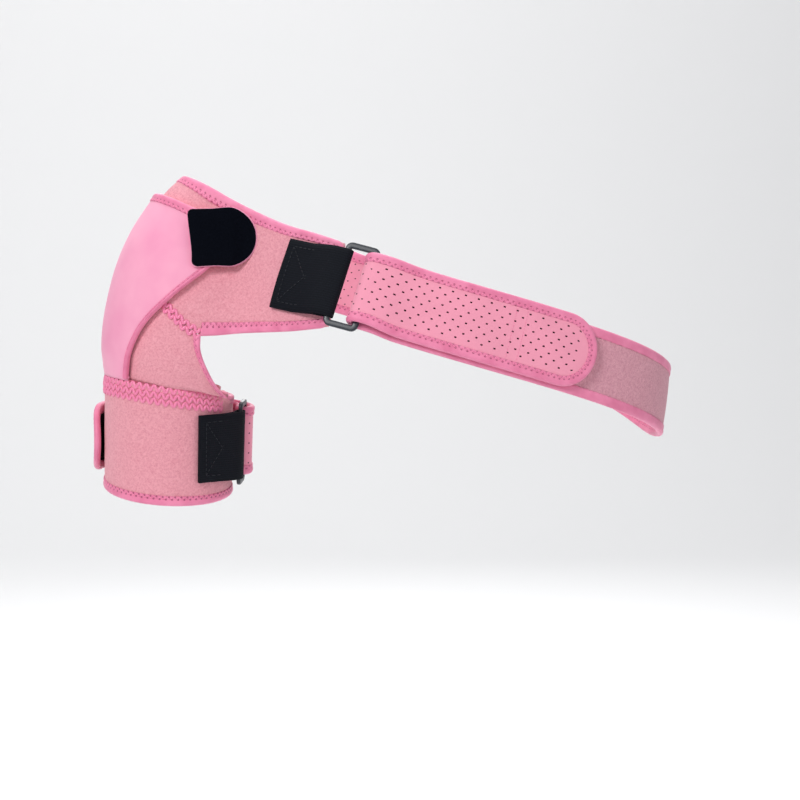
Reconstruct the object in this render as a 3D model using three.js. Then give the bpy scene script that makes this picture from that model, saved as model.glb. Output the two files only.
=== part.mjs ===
import * as THREE from 'three';

// A shoulder brace in the form that it has when it is worn on a right shoulder.
// Millimetres. The front is -Y, the chest strap leads off to +X and +Z is up.
// The origin is where the brace sits on top of the shoulder.

// Foam cloth, tape and clearances
const PANEL_WALL = 3.2;
const FLAP_WALL = 3.6;
const STRAP_WALL = 3.0;
const TAB_WALL = 1.6;
const WEBBING_WALL = 1.3;
const HOOK_WALL = 1.1;
const TAPE_WALL = 0.6;
const TAPE_WIDTH = 6.5;
const TAPE_GAP = 0.36;
const ARMHOLE_TAPE_GAP = 0.55;
const SEAM_GAP = 0.4;
const LAYER_GAP = 0.5;
const FLAP_LIFT = 2.1;
const FLAP_RISE_SHARE = 0.4;
const SLEEVE_SEAM_GAP = 1.3;
const TAB_GAP = 1.1;
const FLAP_EDGE_LIFT = 1.4;

// The arm: a round tube that leans back as it goes down
const ARM_RADIUS = 45;
const ARM_ACROSS = -2.3;
const ARM_TOP = -145;
const ARM_TOP_SLANT = 0.24;
const ARM_LEAN_BACK = 0.12;
const ARM_LEAN_OUT = 0.014;
const SLEEVE_LENGTH = 80;
const SLEEVE_RISE = 5;
const SLEEVE_SLANT = 7.5;
const SLEEVE_FRONT_RISE = 8;
const HEM_SLANT = 2;
const SEAM_INSET = 5.5;

// The cap of the shoulder: a rounded dome over the arm
const CAP_ACROSS = 12;
const CAP_DROP = 112;
const CAP_HALF_WIDTH = 55.5;
const CAP_HALF_DEPTH = 57;
const CAP_RISE = 116;
const CAP_UNDER = 58;
const CAP_POWER = 1.7;

// The ridge that leads from the cap towards the neck
const RIDGE_RADIUS = 36;
const RIDGE_START_ACROSS = 39;
const RIDGE_START_DROP = 13.5;
const RIDGE_REACH = 114;
const RIDGE_CLIMB = 27;
const RIDGE_BACK = 2;

// The chest that the strap goes round
const CHEST_ACROSS = 212;
const CHEST_FRONT = 8;
const CHEST_HALF_WIDTH = 163;
const CHEST_HALF_DEPTH = 112;
const CHEST_HEIGHT = 360;
const CHEST_POWER = 2.5;
const CHEST_DRAPE = 56;
const DRAPE_END = 158;
const DRAPE_FADE = 70;
const DRAPE_LEAST = 0.05;
const CAP_BLEND = 12;
const RIDGE_BLEND = 20;

// The shoulder panel and the cap panel
const PANEL_REACH = 120;
const PANEL_FORWARD = 100;
const PANEL_DROP = 100;
const SHOULDER_BAND = 72;
const CAP_BAND = 60;
const FLAP_BAND = 135;
const SHOULDER_END_RUN = 192;
const CAP_END_RUN = 120;
const FLAP_END_RUN = 144;

// Straps, webbing and rings
const STRAP_WIDTH = 50.5;
const WEBBING_WIDTH = 51;
const CHEST_RING_ACROSS = 125.5;
const CHEST_RING_DROP = 62.3;
const STRAP_DROP = 102;
const WEBBING_SLOPE = 0.205;
const CHEST_FOLD_LENGTH = 178;
const CHEST_WEBBING_LENGTH = 56;
const STRAP_OVERLAP = 38;
const ARM_BAND_DROP = 37;
const ARM_BAND_LEVEL = 4.5;
const ARM_RING_ANGLE = -13;
const ARM_FOLD_LENGTH = 168;
const ARM_STRAP_LENGTH = 104;
const ARM_WEBBING_LENGTH = 45;
const RING_LENGTH = 63.5;
const RING_WIDTH = 26;
const RING_BAR = 4.6;
const RING_CLEAR = 0.7;
const RING_THICKNESS = 3.2;
const RING_CORNER = 4;
const TIP_DEPTH = 22;
const HOOK_LENGTH = 44;
const HOOK_INSET = 0.8;
const FLAT_END = 15;
const FLAT_FADE = 40;
const FOLD_SETTLE = 46;
const STRAP_SHIFT = 1.5;
const ARM_TIP_DROP = 2.6;
const TAB_LENGTH = 51;
const TAB_HEIGHT = 44;
const TAB_NOSE = 0.25;
const TAB_SLOPE = 0.03;
const WALK_STEP = 5;
const CHEST_STRAP_STEP = 21;
const ARM_STRAP_STEP = 13;
const BACK_LIFT_START = 26;
const BACK_LIFT_END = 6;
const TIP_DROP_START = 4;
const TIP_DROP_END = 34;
const TURN_RUN_IN = 2;

// How finely curves are stepped, and how guide points are moved onto a form
const SLOPE_STEP = 0.4;
const SETTLE_FACTOR = 0.85;
const SETTLE_TURNS = 24;
const LEVEL_TURNS = 12;
const ROUTE_FROM = -150;
const ROUTE_TO = 152;
const ROUTE_STEPS = 150;
const ROUTE_PASSES = 3;
const ROUTE_DIVISIONS = 1200;
const ROUTE_SEARCH_STEP = 0.0005;
const FRONT_SHARE = 0.4;
const BACK_SHARE = 0.5;

const TAPE_REACH = TAPE_GAP + TAPE_WALL;
const FOLD_REST = STRAP_WALL + 2 * TAPE_REACH + LAYER_GAP;
const ARM_PIVOT = new THREE.Vector3(ARM_ACROSS, 0, ARM_TOP);
const ARM_AXIS = new THREE.Vector3(ARM_LEAN_OUT, -ARM_LEAN_BACK, 1).normalize();

// Chest sections from low to high: height as a share of CHEST_HEIGHT, half width and half depth
// as shares of CHEST_HALF_WIDTH and CHEST_HALF_DEPTH
const CHEST_SECTIONS = [
  { height: -0.9, width: 0.82, depth: 0.88 },
  { height: -0.62, width: 0.89, depth: 0.95 },
  { height: -0.51, width: 0.96, depth: 0.98 },
  { height: -0.36, width: 1.0, depth: 1.0 },
  { height: -0.23, width: 0.99, depth: 0.93 },
  { height: -0.12, width: 0.94, depth: 0.8 },
  { height: 0.0, width: 0.83, depth: 0.6 },
  { height: 0.1, width: 0.62, depth: 0.38 },
];

// Guide points of the front edges. Shares of PANEL_REACH, PANEL_FORWARD and PANEL_DROP.
const NECK_EDGE = [
  { across: 1.01, forward: 0.84, drop: 0.3 },
  { across: 0.86, forward: 0.75, drop: 0.24 },
  { across: 0.69, forward: 0.6, drop: 0.185 },
  { across: 0.475, forward: 0.42, drop: 0.07 },
  { across: 0.27, forward: 0.27, drop: -0.055 },
  { across: 0.15, forward: 0.14, drop: -0.14 },
  { across: 0.09, forward: -0.02, drop: -0.17 },
];
const LOWER_EDGE = [
  { across: 0.88, forward: 1.02, drop: 0.88 },
  { across: 0.68, forward: 0.89, drop: 0.915 },
  { across: 0.45, forward: 0.67, drop: 0.95 },
  { across: 0.27, forward: 0.57, drop: 0.97 },
  { across: 0.15, forward: 0.57, drop: 0.975 },
];
const CAP_SEAM = [
  { across: 0.15, forward: 0.57, drop: 0.975 },
  { across: 0.06, forward: 0.55, drop: 0.905 },
  { across: -0.02, forward: 0.52, drop: 0.81 },
  { across: -0.11, forward: 0.45, drop: 0.7 },
  { across: -0.22, forward: 0.25, drop: 0.58 },
  { across: -0.27, forward: -0.02, drop: 0.52 },
];
const ARMHOLE_EDGE = [
  { across: 0.15, forward: 0.57, drop: 0.975 },
  { across: 0.145, forward: 0.58, drop: 1.08 },
  { across: 0.185, forward: 0.54, drop: 1.22 },
  { across: 0.25, forward: 0.43, drop: 1.33 },
  { across: 0.335, forward: 0.3, drop: 1.35 },
];
const FLAP_TOP_EDGE = [
  { across: 0.29, forward: 0.44, drop: 0.165 },
  { across: 0.215, forward: 0.42, drop: 0.09 },
  { across: 0.1, forward: 0.41, drop: 0.03 },
  { across: 0.0, forward: 0.28, drop: -0.02 },
  { across: -0.05, forward: -0.02, drop: 0.0 },
];
const FLAP_FRONT_EDGE = [
  { across: 0.29, forward: 0.44, drop: 0.165 },
  { across: 0.275, forward: 0.48, drop: 0.36 },
  { across: 0.2, forward: 0.5, drop: 0.48 },
  { across: -0.02, forward: 0.54, drop: 0.67 },
  { across: -0.195, forward: 0.5, drop: 0.85 },
  { across: -0.29, forward: 0.43, drop: 1.08 },
  { across: -0.315, forward: 0.38, drop: 1.3 },
];

// The rounded tip of a strap: along as a share of TIP_DEPTH, width as a share of STRAP_WIDTH
const TIP_ROWS = [
  { along: 0.4, width: 0.95 },
  { along: 0.7, width: 0.78 },
  { along: 1.0, width: 0.4 },
];

// Stations of the webbing, as shares of its run from the sewn end to the ring and back again
const WEBBING_UNDER_SHARES = [0, 0.3, 0.6];
const WEBBING_OVER_SHARES = [0.12, 0.26, 0.4, 0.55, 0.77, 1];
const WEBBING_CLIMB = 0.2;
const WEBBING_LIES_FROM = 0.1;
const WEBBING_LIES_BY = 0.6;

// Half widths of the fastening patch from its straight end to its rounded one
const HOOK_WIDTHS = [1, 1, 1, 1, 0.9, 0.6];

// Where the tab starts to fall from the flap to the shoulder panel, as a share of its length
const TAB_FALL = 0.6;

// The middle of the fastening tab
const TAB_PLACE = { across: 0.305, forward: 0.47, drop: 0.285 };

const clamp = THREE.MathUtils.clamp;
const lerp = THREE.MathUtils.lerp;
const radians = THREE.MathUtils.degToRad;
const smooth = THREE.MathUtils.smoothstep;

function smoothMin(a, b, reach) {
  const share = Math.max(reach - Math.abs(a - b), 0) / reach;
  return Math.min(a, b) - (share * share * reach) / 4;
}

// A column of the chest table at a height, joined by a smooth curve
function chestSize(height, column) {
  const rows = CHEST_SECTIONS;
  const last = rows.length - 1;
  const at = clamp(height / CHEST_HEIGHT, rows[0].height, rows[last].height);
  let i = 0;
  while (i < last - 1 && at > rows[i + 1].height) i += 1;
  const slope = (k) => {
    const low = rows[Math.max(k - 1, 0)];
    const high = rows[Math.min(k + 1, last)];
    return (high[column] - low[column]) / (high.height - low.height);
  };
  const step = rows[i + 1].height - rows[i].height;
  const t = (at - rows[i].height) / step;
  const s = 1 - t;
  return (
    rows[i][column] * (1 + 2 * t) * s * s +
    rows[i + 1][column] * t * t * (3 - 2 * t) +
    step * t * s * (slope(i) * s - slope(i + 1) * t)
  );
}

// Signed distances from the parts of the form that the brace is worn on
function armForm(p) {
  const down = Math.max(ARM_TOP - p.z, 0);
  const above = Math.max(p.z - ARM_TOP - ARM_TOP_SLANT * (p.x - ARM_ACROSS), 0);
  const x = p.x - ARM_ACROSS + ARM_LEAN_OUT * down;
  const y = p.y - ARM_LEAN_BACK * down;
  return Math.hypot(x, y, above) - ARM_RADIUS;
}

function capForm(p) {
  const x = p.x - CAP_ACROSS;
  const y = p.y - RIDGE_BACK;
  const z = p.z + CAP_DROP;
  const level = Math.hypot(x / CAP_HALF_WIDTH, y / CAP_HALF_DEPTH);
  const rise = Math.abs(z) / (z > 0 ? CAP_RISE : CAP_UNDER);
  const size = Math.pow(level ** CAP_POWER + rise ** CAP_POWER, 1 / CAP_POWER) + 1e-9;
  return Math.hypot(x, y, z) * (1 - 1 / size);
}

function ridgeForm(p) {
  const along = new THREE.Vector3(RIDGE_REACH, RIDGE_BACK, RIDGE_CLIMB);
  const from = new THREE.Vector3(RIDGE_START_ACROSS, RIDGE_BACK, -RIDGE_START_DROP);
  const offset = p.clone().sub(from);
  const share = clamp(offset.dot(along) / along.lengthSq(), 0, 1);
  return offset.addScaledVector(along, -share).length() - RIDGE_RADIUS;
}

function chestForm(p) {
  const halfWidth = CHEST_HALF_WIDTH * chestSize(p.z, 'width');
  const halfDepth = CHEST_HALF_DEPTH * chestSize(p.z, 'depth');
  const x = p.x - CHEST_ACROSS;
  const y = p.y + CHEST_FRONT;
  const across = Math.abs(x / halfWidth) ** CHEST_POWER;
  const deep = Math.abs(y / halfDepth) ** CHEST_POWER;
  const size = Math.pow(across + deep, 1 / CHEST_POWER) + 1e-9;
  return Math.hypot(x, y) * (1 - 1 / size);
}

function shoulderForm(p) {
  const cap = smoothMin(armForm(p), capForm(p), CAP_BLEND);
  return smoothMin(cap, ridgeForm(p), RIDGE_BLEND);
}

// The whole form. The cloth spans the hollow between arm and chest less and less further down.
function wornForm(p) {
  const drape = CHEST_DRAPE * clamp((p.z + DRAPE_END) / DRAPE_FADE, DRAPE_LEAST, 1);
  return smoothMin(shoulderForm(p), chestForm(p), drape);
}

function slopeOf(form, p) {
  const slope = new THREE.Vector3();
  for (const axis of ['x', 'y', 'z']) {
    const ahead = p.clone();
    const behind = p.clone();
    ahead[axis] += SLOPE_STEP;
    behind[axis] -= SLOPE_STEP;
    slope[axis] = (form(ahead) - form(behind)) / (2 * SLOPE_STEP);
  }
  return slope;
}

// Moves a guide point onto a form and gives it with the outward direction there
function settle(form, guide) {
  const p = guide.clone();
  for (let turn = 0; turn < SETTLE_TURNS; turn += 1) {
    const slope = slopeOf(form, p);
    p.addScaledVector(slope, (-SETTLE_FACTOR * form(p)) / slope.lengthSq());
  }
  return { p, n: slopeOf(form, p).normalize() };
}

const raise = (spot, height) => spot.p.clone().addScaledVector(spot.n, height);

// A guide point from a row of shares. The back ones mirror the front ones.
function guidePoint(row, side) {
  const forward = row.forward * PANEL_FORWARD + RIDGE_BACK;
  return new THREE.Vector3(
    row.across * PANEL_REACH,
    RIDGE_BACK - side * forward,
    -row.drop * PANEL_DROP,
  );
}

function guideCurve(table, side) {
  const points = table.map((row) => guidePoint(row, side));
  return new THREE.CatmullRomCurve3(points, false, 'centripetal');
}

// A four-sided patch between guide curves: top and bottom run along u, the sides along v
function patch(top, bottom, start, end) {
  const corners = [top(0), top(1), bottom(0), bottom(1)];
  return (u, v) => {
    const p = new THREE.Vector3();
    p.addScaledVector(top(u), 1 - v).addScaledVector(bottom(u), v);
    p.addScaledVector(start(v), 1 - u).addScaledVector(end(v), u);
    const shares = [(1 - u) * (1 - v), u * (1 - v), (1 - u) * v, u * v];
    corners.forEach((corner, k) => p.addScaledVector(corner, -shares[k]));
    return p;
  };
}

const straight = (a, b) => (t) => a.clone().lerp(b, t);

// Solids: a list of points and of faces, closed and facing out
function finish(name, points, faces, look) {
  const positions = points.flatMap((p) => [p.x, p.y, p.z]);
  const index = [];
  for (const face of faces) {
    for (let k = 2; k < face.length; k += 1) index.push(face[0], face[k - 1], face[k]);
  }
  let volume = 0;
  for (let k = 0; k < index.length; k += 3) {
    const [a, b, c] = [points[index[k]], points[index[k + 1]], points[index[k + 2]]];
    volume += a.dot(b.clone().cross(c));
  }
  if (volume < 0) index.reverse();
  const geometry = new THREE.BufferGeometry();
  geometry.setAttribute('position', new THREE.Float32BufferAttribute(positions, 3));
  geometry.setIndex(index);
  return named(name, geometry, look);
}

function named(name, geometry, look) {
  geometry.computeVertexNormals();
  const mesh = new THREE.Mesh(geometry, new THREE.MeshStandardMaterial(look));
  mesh.name = name;
  return mesh;
}

// The quads of a sheet are split on the diagonal that runs towards its nearest corner
function splitsDown(sheet, i, j) {
  const early = i < sheet.inner.length / 2 - 1;
  const high = j < sheet.inner[0].length / 2 - 1;
  return early === high;
}

// A quad as two triangles, split from its first corner or from its second
function split(quad, fromFirst) {
  const [a, b, c, d] = fromFirst ? quad : [quad[1], quad[2], quad[3], quad[0]];
  return [[a, b, c], [a, c, d]];
}

// A sheet: rows of stations, each station with the same number of inner and outer points
function sheetSolid(name, sheet, look) {
  const { inner, outer, closed } = sheet;
  const stations = inner.length;
  const rows = inner[0].length;
  const points = [...inner.flat(), ...outer.flat()];
  const low = (i, j) => (i % stations) * rows + j;
  const high = (i, j) => stations * rows + low(i, j);
  const faces = [];
  for (let i = 0; i < (closed ? stations : stations - 1); i += 1) {
    for (let j = 0; j < rows - 1; j += 1) {
      const down = splitsDown(sheet, i, j);
      const top = [high(i, j), high(i + 1, j), high(i + 1, j + 1), high(i, j + 1)];
      const under = [low(i, j), low(i, j + 1), low(i + 1, j + 1), low(i + 1, j)];
      faces.push(...split(top, down), ...split(under, down));
    }
    faces.push([low(i, 0), low(i + 1, 0), high(i + 1, 0), high(i, 0)]);
    const last = rows - 1;
    faces.push([low(i, last), high(i, last), high(i + 1, last), low(i + 1, last)]);
  }
  if (!closed) {
    for (let j = 0; j < rows - 1; j += 1) {
      const end = stations - 1;
      faces.push([low(0, j), high(0, j), high(0, j + 1), low(0, j + 1)]);
      faces.push([low(end, j), low(end, j + 1), high(end, j + 1), high(end, j)]);
    }
  }
  return finish(name, points, faces, look);
}

// Whether the sheet's split of a quad runs between these two opposite corners of it
function alongDiagonal(sheet, a, b) {
  const falls = (a[0] - b[0]) * (a[1] - b[1]) > 0;
  return falls === splitsDown(sheet, Math.min(a[0], b[0]), Math.min(a[1], b[1]));
}

// Tape folded round the edge of a sheet. Each stop is a place on the edge and the place
// that the tape's legs reach, both as [station, row].
function tapeSolid(name, sheet, stops, look, closed = false, gap = TAPE_GAP) {
  const reach = gap + TAPE_WALL;
  const rings = stops.map(([edge, leg]) => {
    const [e0, e1] = [sheet.inner[edge[0]][edge[1]], sheet.outer[edge[0]][edge[1]]];
    const [f0, f1] = [sheet.inner[leg[0]][leg[1]], sheet.outer[leg[0]][leg[1]]];
    const out = e1.clone().sub(e0).normalize();
    const away = e0.clone().add(e1).sub(f0).sub(f1).normalize();
    const offset = (p, up, over) => p.clone().addScaledVector(out, up).addScaledVector(away, over);
    return [
      offset(f0, -reach, 0),
      offset(e0, -reach, reach),
      offset(e1, reach, reach),
      offset(f1, reach, 0),
      offset(f1, gap, 0),
      offset(e1, gap, gap),
      offset(e0, -gap, gap),
      offset(f0, -gap, 0),
    ];
  });
  const size = rings[0].length;
  const faces = [];
  const turns = closed ? rings.length : rings.length - 1;
  for (let i = 0; i < turns; i += 1) {
    const next = (i + 1) % rings.length;
    const across = alongDiagonal(sheet, stops[i][0], stops[next][1]);
    for (let k = 0; k < size; k += 1) {
      const l = (k + 1) % size;
      const fromEdge = k % 4 === 2;
      const quad = [i * size + k, next * size + k, next * size + l, i * size + l];
      faces.push(...split(quad, fromEdge === across));
    }
  }
  if (!closed) {
    const end = (rings.length - 1) * size;
    for (const [a, b, c, d] of [[0, 1, 6, 7], [1, 2, 5, 6], [2, 3, 4, 5]]) {
      faces.push([a, b, c, d]);
      faces.push([end + d, end + c, end + b, end + a]);
    }
  }
  return finish(name, rings.flat(), faces, look);
}

// Shares of the rows across a sheet, with a row at the tape's width inside each edge
function rowShares(width, spans) {
  const edge = TAPE_WIDTH / width;
  const shares = [0];
  for (let k = 0; k <= spans; k += 1) shares.push(lerp(edge, 1 - edge, k / spans));
  shares.push(1);
  return shares;
}

const evenShares = (count) => Array.from({ length: count + 1 }, (_, k) => k / count);

// Colours and finishes
const FLEECE = { color: 0xe8a0aa, roughness: 0.95, metalness: 0 };
const SMOOTH = { color: 0xf2b0cf, roughness: 0.7, metalness: 0 };
const LINING = { color: 0xf7a3bd, roughness: 0.75, metalness: 0 };
const TAPE = { color: 0xf08fb8, roughness: 0.6, metalness: 0 };
const BLACK_HOOK = { color: 0x05070f, roughness: 0.95, metalness: 0 };
const BLACK_WEBBING = { color: 0x0c1018, roughness: 0.8, metalness: 0 };
const RING_PLASTIC = { color: 0x30363d, roughness: 0.35, metalness: 0 };

const brace = new THREE.Group();

// Shoulder panel: from the chest ring over the ridge to the same place on the back
const LOWER_STEPS = 8;
const SEAM_STEPS = 6;
const CORNER_SHARE = LOWER_STEPS / (LOWER_STEPS + SEAM_STEPS);
const NECK_CORNER_SHARE = 0.7;

function lowerAndSeam(side) {
  const lower = guideCurve(LOWER_EDGE, side);
  const seam = guideCurve(CAP_SEAM, side);
  return (u) => {
    if (u < CORNER_SHARE) return lower.getPointAt(u / CORNER_SHARE);
    return seam.getPointAt((u - CORNER_SHARE) / (1 - CORNER_SHARE));
  };
}

// The neck edge is stepped so that its stations stand across from the lower edge's
function neckStations(side) {
  const neck = guideCurve(NECK_EDGE, side);
  return (u) => {
    if (u < CORNER_SHARE) return neck.getPointAt((u / CORNER_SHARE) * NECK_CORNER_SHARE);
    const rest = (u - CORNER_SHARE) / (1 - CORNER_SHARE);
    return neck.getPointAt(lerp(NECK_CORNER_SHARE, 1, rest));
  };
}

function shoulderHalf(side) {
  const top = neckStations(side);
  const bottom = lowerAndSeam(side);
  return patch(top, bottom, straight(top(0), bottom(0)), straight(top(1), bottom(1)));
}

function spotGrid(form, guide, us, vs) {
  return us.map((u) => vs.map((v) => settle(form, guide(u, v))));
}

function thickSheet(spots, low, high, closed = false) {
  const face = (height) =>
    spots.map((row, i) =>
      row.map((spot, j) => raise(spot, typeof height === 'function' ? height(i, j) : height)),
    );
  return { inner: face(low), outer: face(high), closed };
}

const shoulderRows = rowShares(SHOULDER_BAND, 5);
const halfShares = evenShares(LOWER_STEPS + SEAM_STEPS);
halfShares.splice(1, 0, TAPE_WIDTH / SHOULDER_END_RUN);
const frontSpots = spotGrid(wornForm, shoulderHalf(1), halfShares, shoulderRows);
const backSpots = spotGrid(wornForm, shoulderHalf(-1), halfShares, shoulderRows);
const shoulderSpots = [...frontSpots, ...backSpots.slice(0, -1).reverse()];

// The seam to the cap panel keeps a small gap: the panel's seam edge is drawn in
function drawIn(spots, stations, edge, next, gap) {
  for (const i of stations) {
    const away = spots[i][next].p.clone().sub(spots[i][edge].p).normalize();
    spots[i][edge] = settle(wornForm, spots[i][edge].p.clone().addScaledVector(away, gap));
  }
}
const cornerStation = LOWER_STEPS + 1;
const lastStation = shoulderSpots.length - 1;
const seamStations = shoulderSpots
  .map((_, i) => i)
  .filter((i) => i >= cornerStation && i <= lastStation - cornerStation);
const bottomRow = shoulderRows.length - 1;
drawIn(shoulderSpots, seamStations, bottomRow, bottomRow - 1, SEAM_GAP);
const shoulderSheet = thickSheet(shoulderSpots, 0, PANEL_WALL);
brace.add(sheetSolid('shoulder_panel', shoulderSheet, FLEECE));

// Its tape runs from the front corner round both ends and the neck edge to the back corner
function panelTapeStops() {
  const stops = [];
  const inside = (i) => clamp(i, 1, lastStation - 1);
  for (let i = cornerStation - 1; i >= 0; i -= 1) {
    stops.push([[i, bottomRow], [inside(i), bottomRow - 1]]);
  }
  for (let j = bottomRow - 1; j >= 1; j -= 1) stops.push([[0, j], [1, j]]);
  for (let i = 0; i <= lastStation; i += 1) stops.push([[i, 0], [inside(i), 1]]);
  for (let j = 1; j <= bottomRow - 1; j += 1) {
    stops.push([[lastStation, j], [lastStation - 1, j]]);
  }
  for (let i = lastStation; i > lastStation - cornerStation; i -= 1) {
    stops.push([[i, bottomRow], [inside(i), bottomRow - 1]]);
  }
  return stops;
}
brace.add(tapeSolid('panel_binding', shoulderSheet, panelTapeStops(), TAPE));

// A place on the sleeve's form, sunk inwards by an inset
function armSpot(angle, drop, inset = 0) {
  const axis = ARM_PIVOT.clone().addScaledVector(ARM_AXIS, -drop);
  const n = new THREE.Vector3(Math.cos(angle), Math.sin(angle), 0);
  n.addScaledVector(ARM_AXIS, -n.dot(ARM_AXIS)).normalize();
  return { p: axis.addScaledVector(n, ARM_RADIUS - inset), n };
}

// The sleeve's top edge rises to the outer side and to the front
const sleeveTop = (angle) =>
  -SLEEVE_RISE + SLEEVE_SLANT * Math.cos(angle) + SLEEVE_FRONT_RISE * Math.sin(angle);

// The lowest row of a panel that is sewn in at the sleeve's top edge
const seamSpot = (angle, inset) =>
  armSpot(angle, sleeveTop(angle) - SLEEVE_SEAM_GAP, inset);

function sewnGrid(form, guide, seam, us, vs) {
  const spots = spotGrid(form, guide, us, vs);
  us.forEach((u, i) => {
    spots[i][vs.length - 1] = seam(u);
  });
  return spots;
}

// Cap panel: from the front armhole edge round the outer side to the back armhole edge
const CAP_STEPS = 9;
const CAP_SPANS = 4;
const ARMPIT_HALF_ANGLE = radians(38);

function capSeam(side) {
  const angle = (u) => -side * lerp(ARMPIT_HALF_ANGLE, Math.PI, u);
  return (u) => seamSpot(angle(u), SEAM_INSET * Math.max(-Math.cos(angle(u)), 0));
}

function capHalf(side) {
  const seam = guideCurve(CAP_SEAM, side);
  const armhole = guideCurve(ARMHOLE_EDGE, side);
  const bottom = (u) => capSeam(side)(u).p;
  const top = (u) => seam.getPointAt(u);
  const start = (v) => armhole.getPointAt(v).lerp(bottom(0), v * v);
  return patch(top, bottom, start, straight(top(1), bottom(1)));
}

const capRows = rowShares(CAP_BAND, CAP_SPANS);
const capShares = evenShares(CAP_STEPS);
capShares.splice(1, 0, TAPE_WIDTH / CAP_END_RUN);
const capFront = sewnGrid(shoulderForm, capHalf(1), capSeam(1), capShares, capRows);
const capBack = sewnGrid(shoulderForm, capHalf(-1), capSeam(-1), capShares, capRows);
const capSpots = [...capFront, ...capBack.slice(0, -1).reverse()];
const capLast = capSpots.length - 1;
const capBottom = capRows.length - 1;
const capSheet = thickSheet(capSpots, 0, PANEL_WALL);
brace.add(sheetSolid('cap_panel', capSheet, FLEECE));

// The armhole tapes end above the sleeve seam
const armholeStops = (edge, leg) => capRows.slice(0, -1).map((_, j) => [[edge, j], [leg, j]]);
const armholeTape = (name, edge, leg) =>
  tapeSolid(name, capSheet, armholeStops(edge, leg), TAPE, false, ARMHOLE_TAPE_GAP);
brace.add(armholeTape('armhole_binding_front', 0, 1));
brace.add(armholeTape('armhole_binding_back', capLast, capLast - 1));

// Arm sleeve: stations round the arm, with tape round its hem and its edge in the armpit
const SLEEVE_STATIONS = 30;
const SLEEVE_SPANS = 3;

const sleeveAngles = evenShares(SLEEVE_STATIONS).slice(1).map((share) => share * 2 * Math.PI);
const sleeveRows = rowShares(SLEEVE_LENGTH, SLEEVE_SPANS);
const sleeveBottom = (angle) => SLEEVE_LENGTH - SLEEVE_RISE + HEM_SLANT * Math.cos(angle);
const sleeveSpots = sleeveAngles.map((angle) =>
  sleeveRows.map((v) => armSpot(angle, lerp(sleeveTop(angle), sleeveBottom(angle), v))),
);
const sleeveSheet = thickSheet(sleeveSpots, 0, PANEL_WALL, true);
brace.add(sheetSolid('arm_sleeve', sleeveSheet, FLEECE));
const hemRow = sleeveRows.length - 1;
const hemStops = sleeveAngles.map((_, i) => [[i, hemRow], [i, hemRow - 1]]);
brace.add(tapeSolid('hem_binding', sleeveSheet, hemStops, TAPE, true));
const armpitReach = Math.round((ARMPIT_HALF_ANGLE / (2 * Math.PI)) * SLEEVE_STATIONS) - 1;
const armpitStops = [];
for (let k = -armpitReach; k <= armpitReach; k += 1) {
  const i = (k - 1 + SLEEVE_STATIONS) % SLEEVE_STATIONS;
  armpitStops.push([[i, 0], [i, 1]]);
}
brace.add(tapeSolid('armpit_binding', sleeveSheet, armpitStops, TAPE));

// Shoulder flap: lies over both panels and is sewn in at the sleeve seam
const FLAP_STEPS = 9;
const FLAP_SPANS = 6;
const FLAP_SEAM_ANGLE = radians(131);
const flapLow = PANEL_WALL + FLAP_LIFT;

const flapSeam = (side) => (u) => seamSpot(-side * lerp(FLAP_SEAM_ANGLE, Math.PI, u), SEAM_INSET);

function flapHalf(side) {
  const edge = guideCurve(FLAP_TOP_EDGE, side);
  const front = guideCurve(FLAP_FRONT_EDGE, side);
  const bottom = (u) => flapSeam(side)(u).p;
  const top = (u) => edge.getPointAt(u);
  const start = (v) => front.getPointAt(v).lerp(bottom(0), v ** 4);
  return patch(top, bottom, start, straight(top(1), bottom(1)));
}

const flapRows = rowShares(FLAP_BAND, FLAP_SPANS);
const flapShares = evenShares(FLAP_STEPS);
flapShares.splice(1, 0, TAPE_WIDTH / FLAP_END_RUN);
const flapFront = sewnGrid(wornForm, flapHalf(1), flapSeam(1), flapShares, flapRows);
const flapBack = sewnGrid(wornForm, flapHalf(-1), flapSeam(-1), flapShares, flapRows);
const flapSpots = [...flapFront, ...flapBack.slice(0, -1).reverse()];
const flapLast = flapSpots.length - 1;
const flapBottom = flapRows.length - 1;
const flapRise = (i, j) => {
  const inside = smooth(flapRows[j], 0, FLAP_RISE_SHARE);
  return PANEL_WALL + lerp(FLAP_EDGE_LIFT, FLAP_LIFT, inside);
};
const flapSheet = thickSheet(flapSpots, flapRise, (i, j) => flapRise(i, j) + FLAP_WALL);
brace.add(sheetSolid('shoulder_flap', flapSheet, SMOOTH));
const flapStops = [];
for (let j = flapBottom - 1; j >= 0; j -= 1) flapStops.push([[0, j], [1, Math.max(j, 1)]]);
for (let i = 1; i < flapLast; i += 1) flapStops.push([[i, 0], [i, 1]]);
for (let j = 0; j < flapBottom; j += 1) {
  flapStops.push([[flapLast, j], [flapLast - 1, Math.max(j, 1)]]);
}
brace.add(tapeSolid('flap_binding', flapSheet, flapStops, TAPE));

// Fastening tab: black, straight at its outer end and round at the other. Its outer end lies on
// the flap and its round end on the shoulder panel.
const TAB_STEPS = 8;
const TAB_ROWS = 6;
const tabHigh = flapLow + FLAP_WALL + TAPE_REACH + TAB_GAP;
const tabLow = PANEL_WALL + LAYER_GAP;

const tabCentre = settle(wornForm, guidePoint(TAB_PLACE, 1));
const tabAlong = new THREE.Vector3(1, 0, TAB_SLOPE);
const tabUp = new THREE.Vector3(0, 0, 1);

// Walks a length over a form, from a spot towards a direction
function walk(form, spot, towards, length) {
  const steps = Math.max(Math.ceil(Math.abs(length) / WALK_STEP), 1);
  let here = spot;
  for (let k = 0; k < steps; k += 1) {
    const way = towards.clone().addScaledVector(here.n, -towards.dot(here.n)).normalize();
    here = settle(form, here.p.clone().addScaledVector(way, length / steps));
  }
  return here;
}

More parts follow.
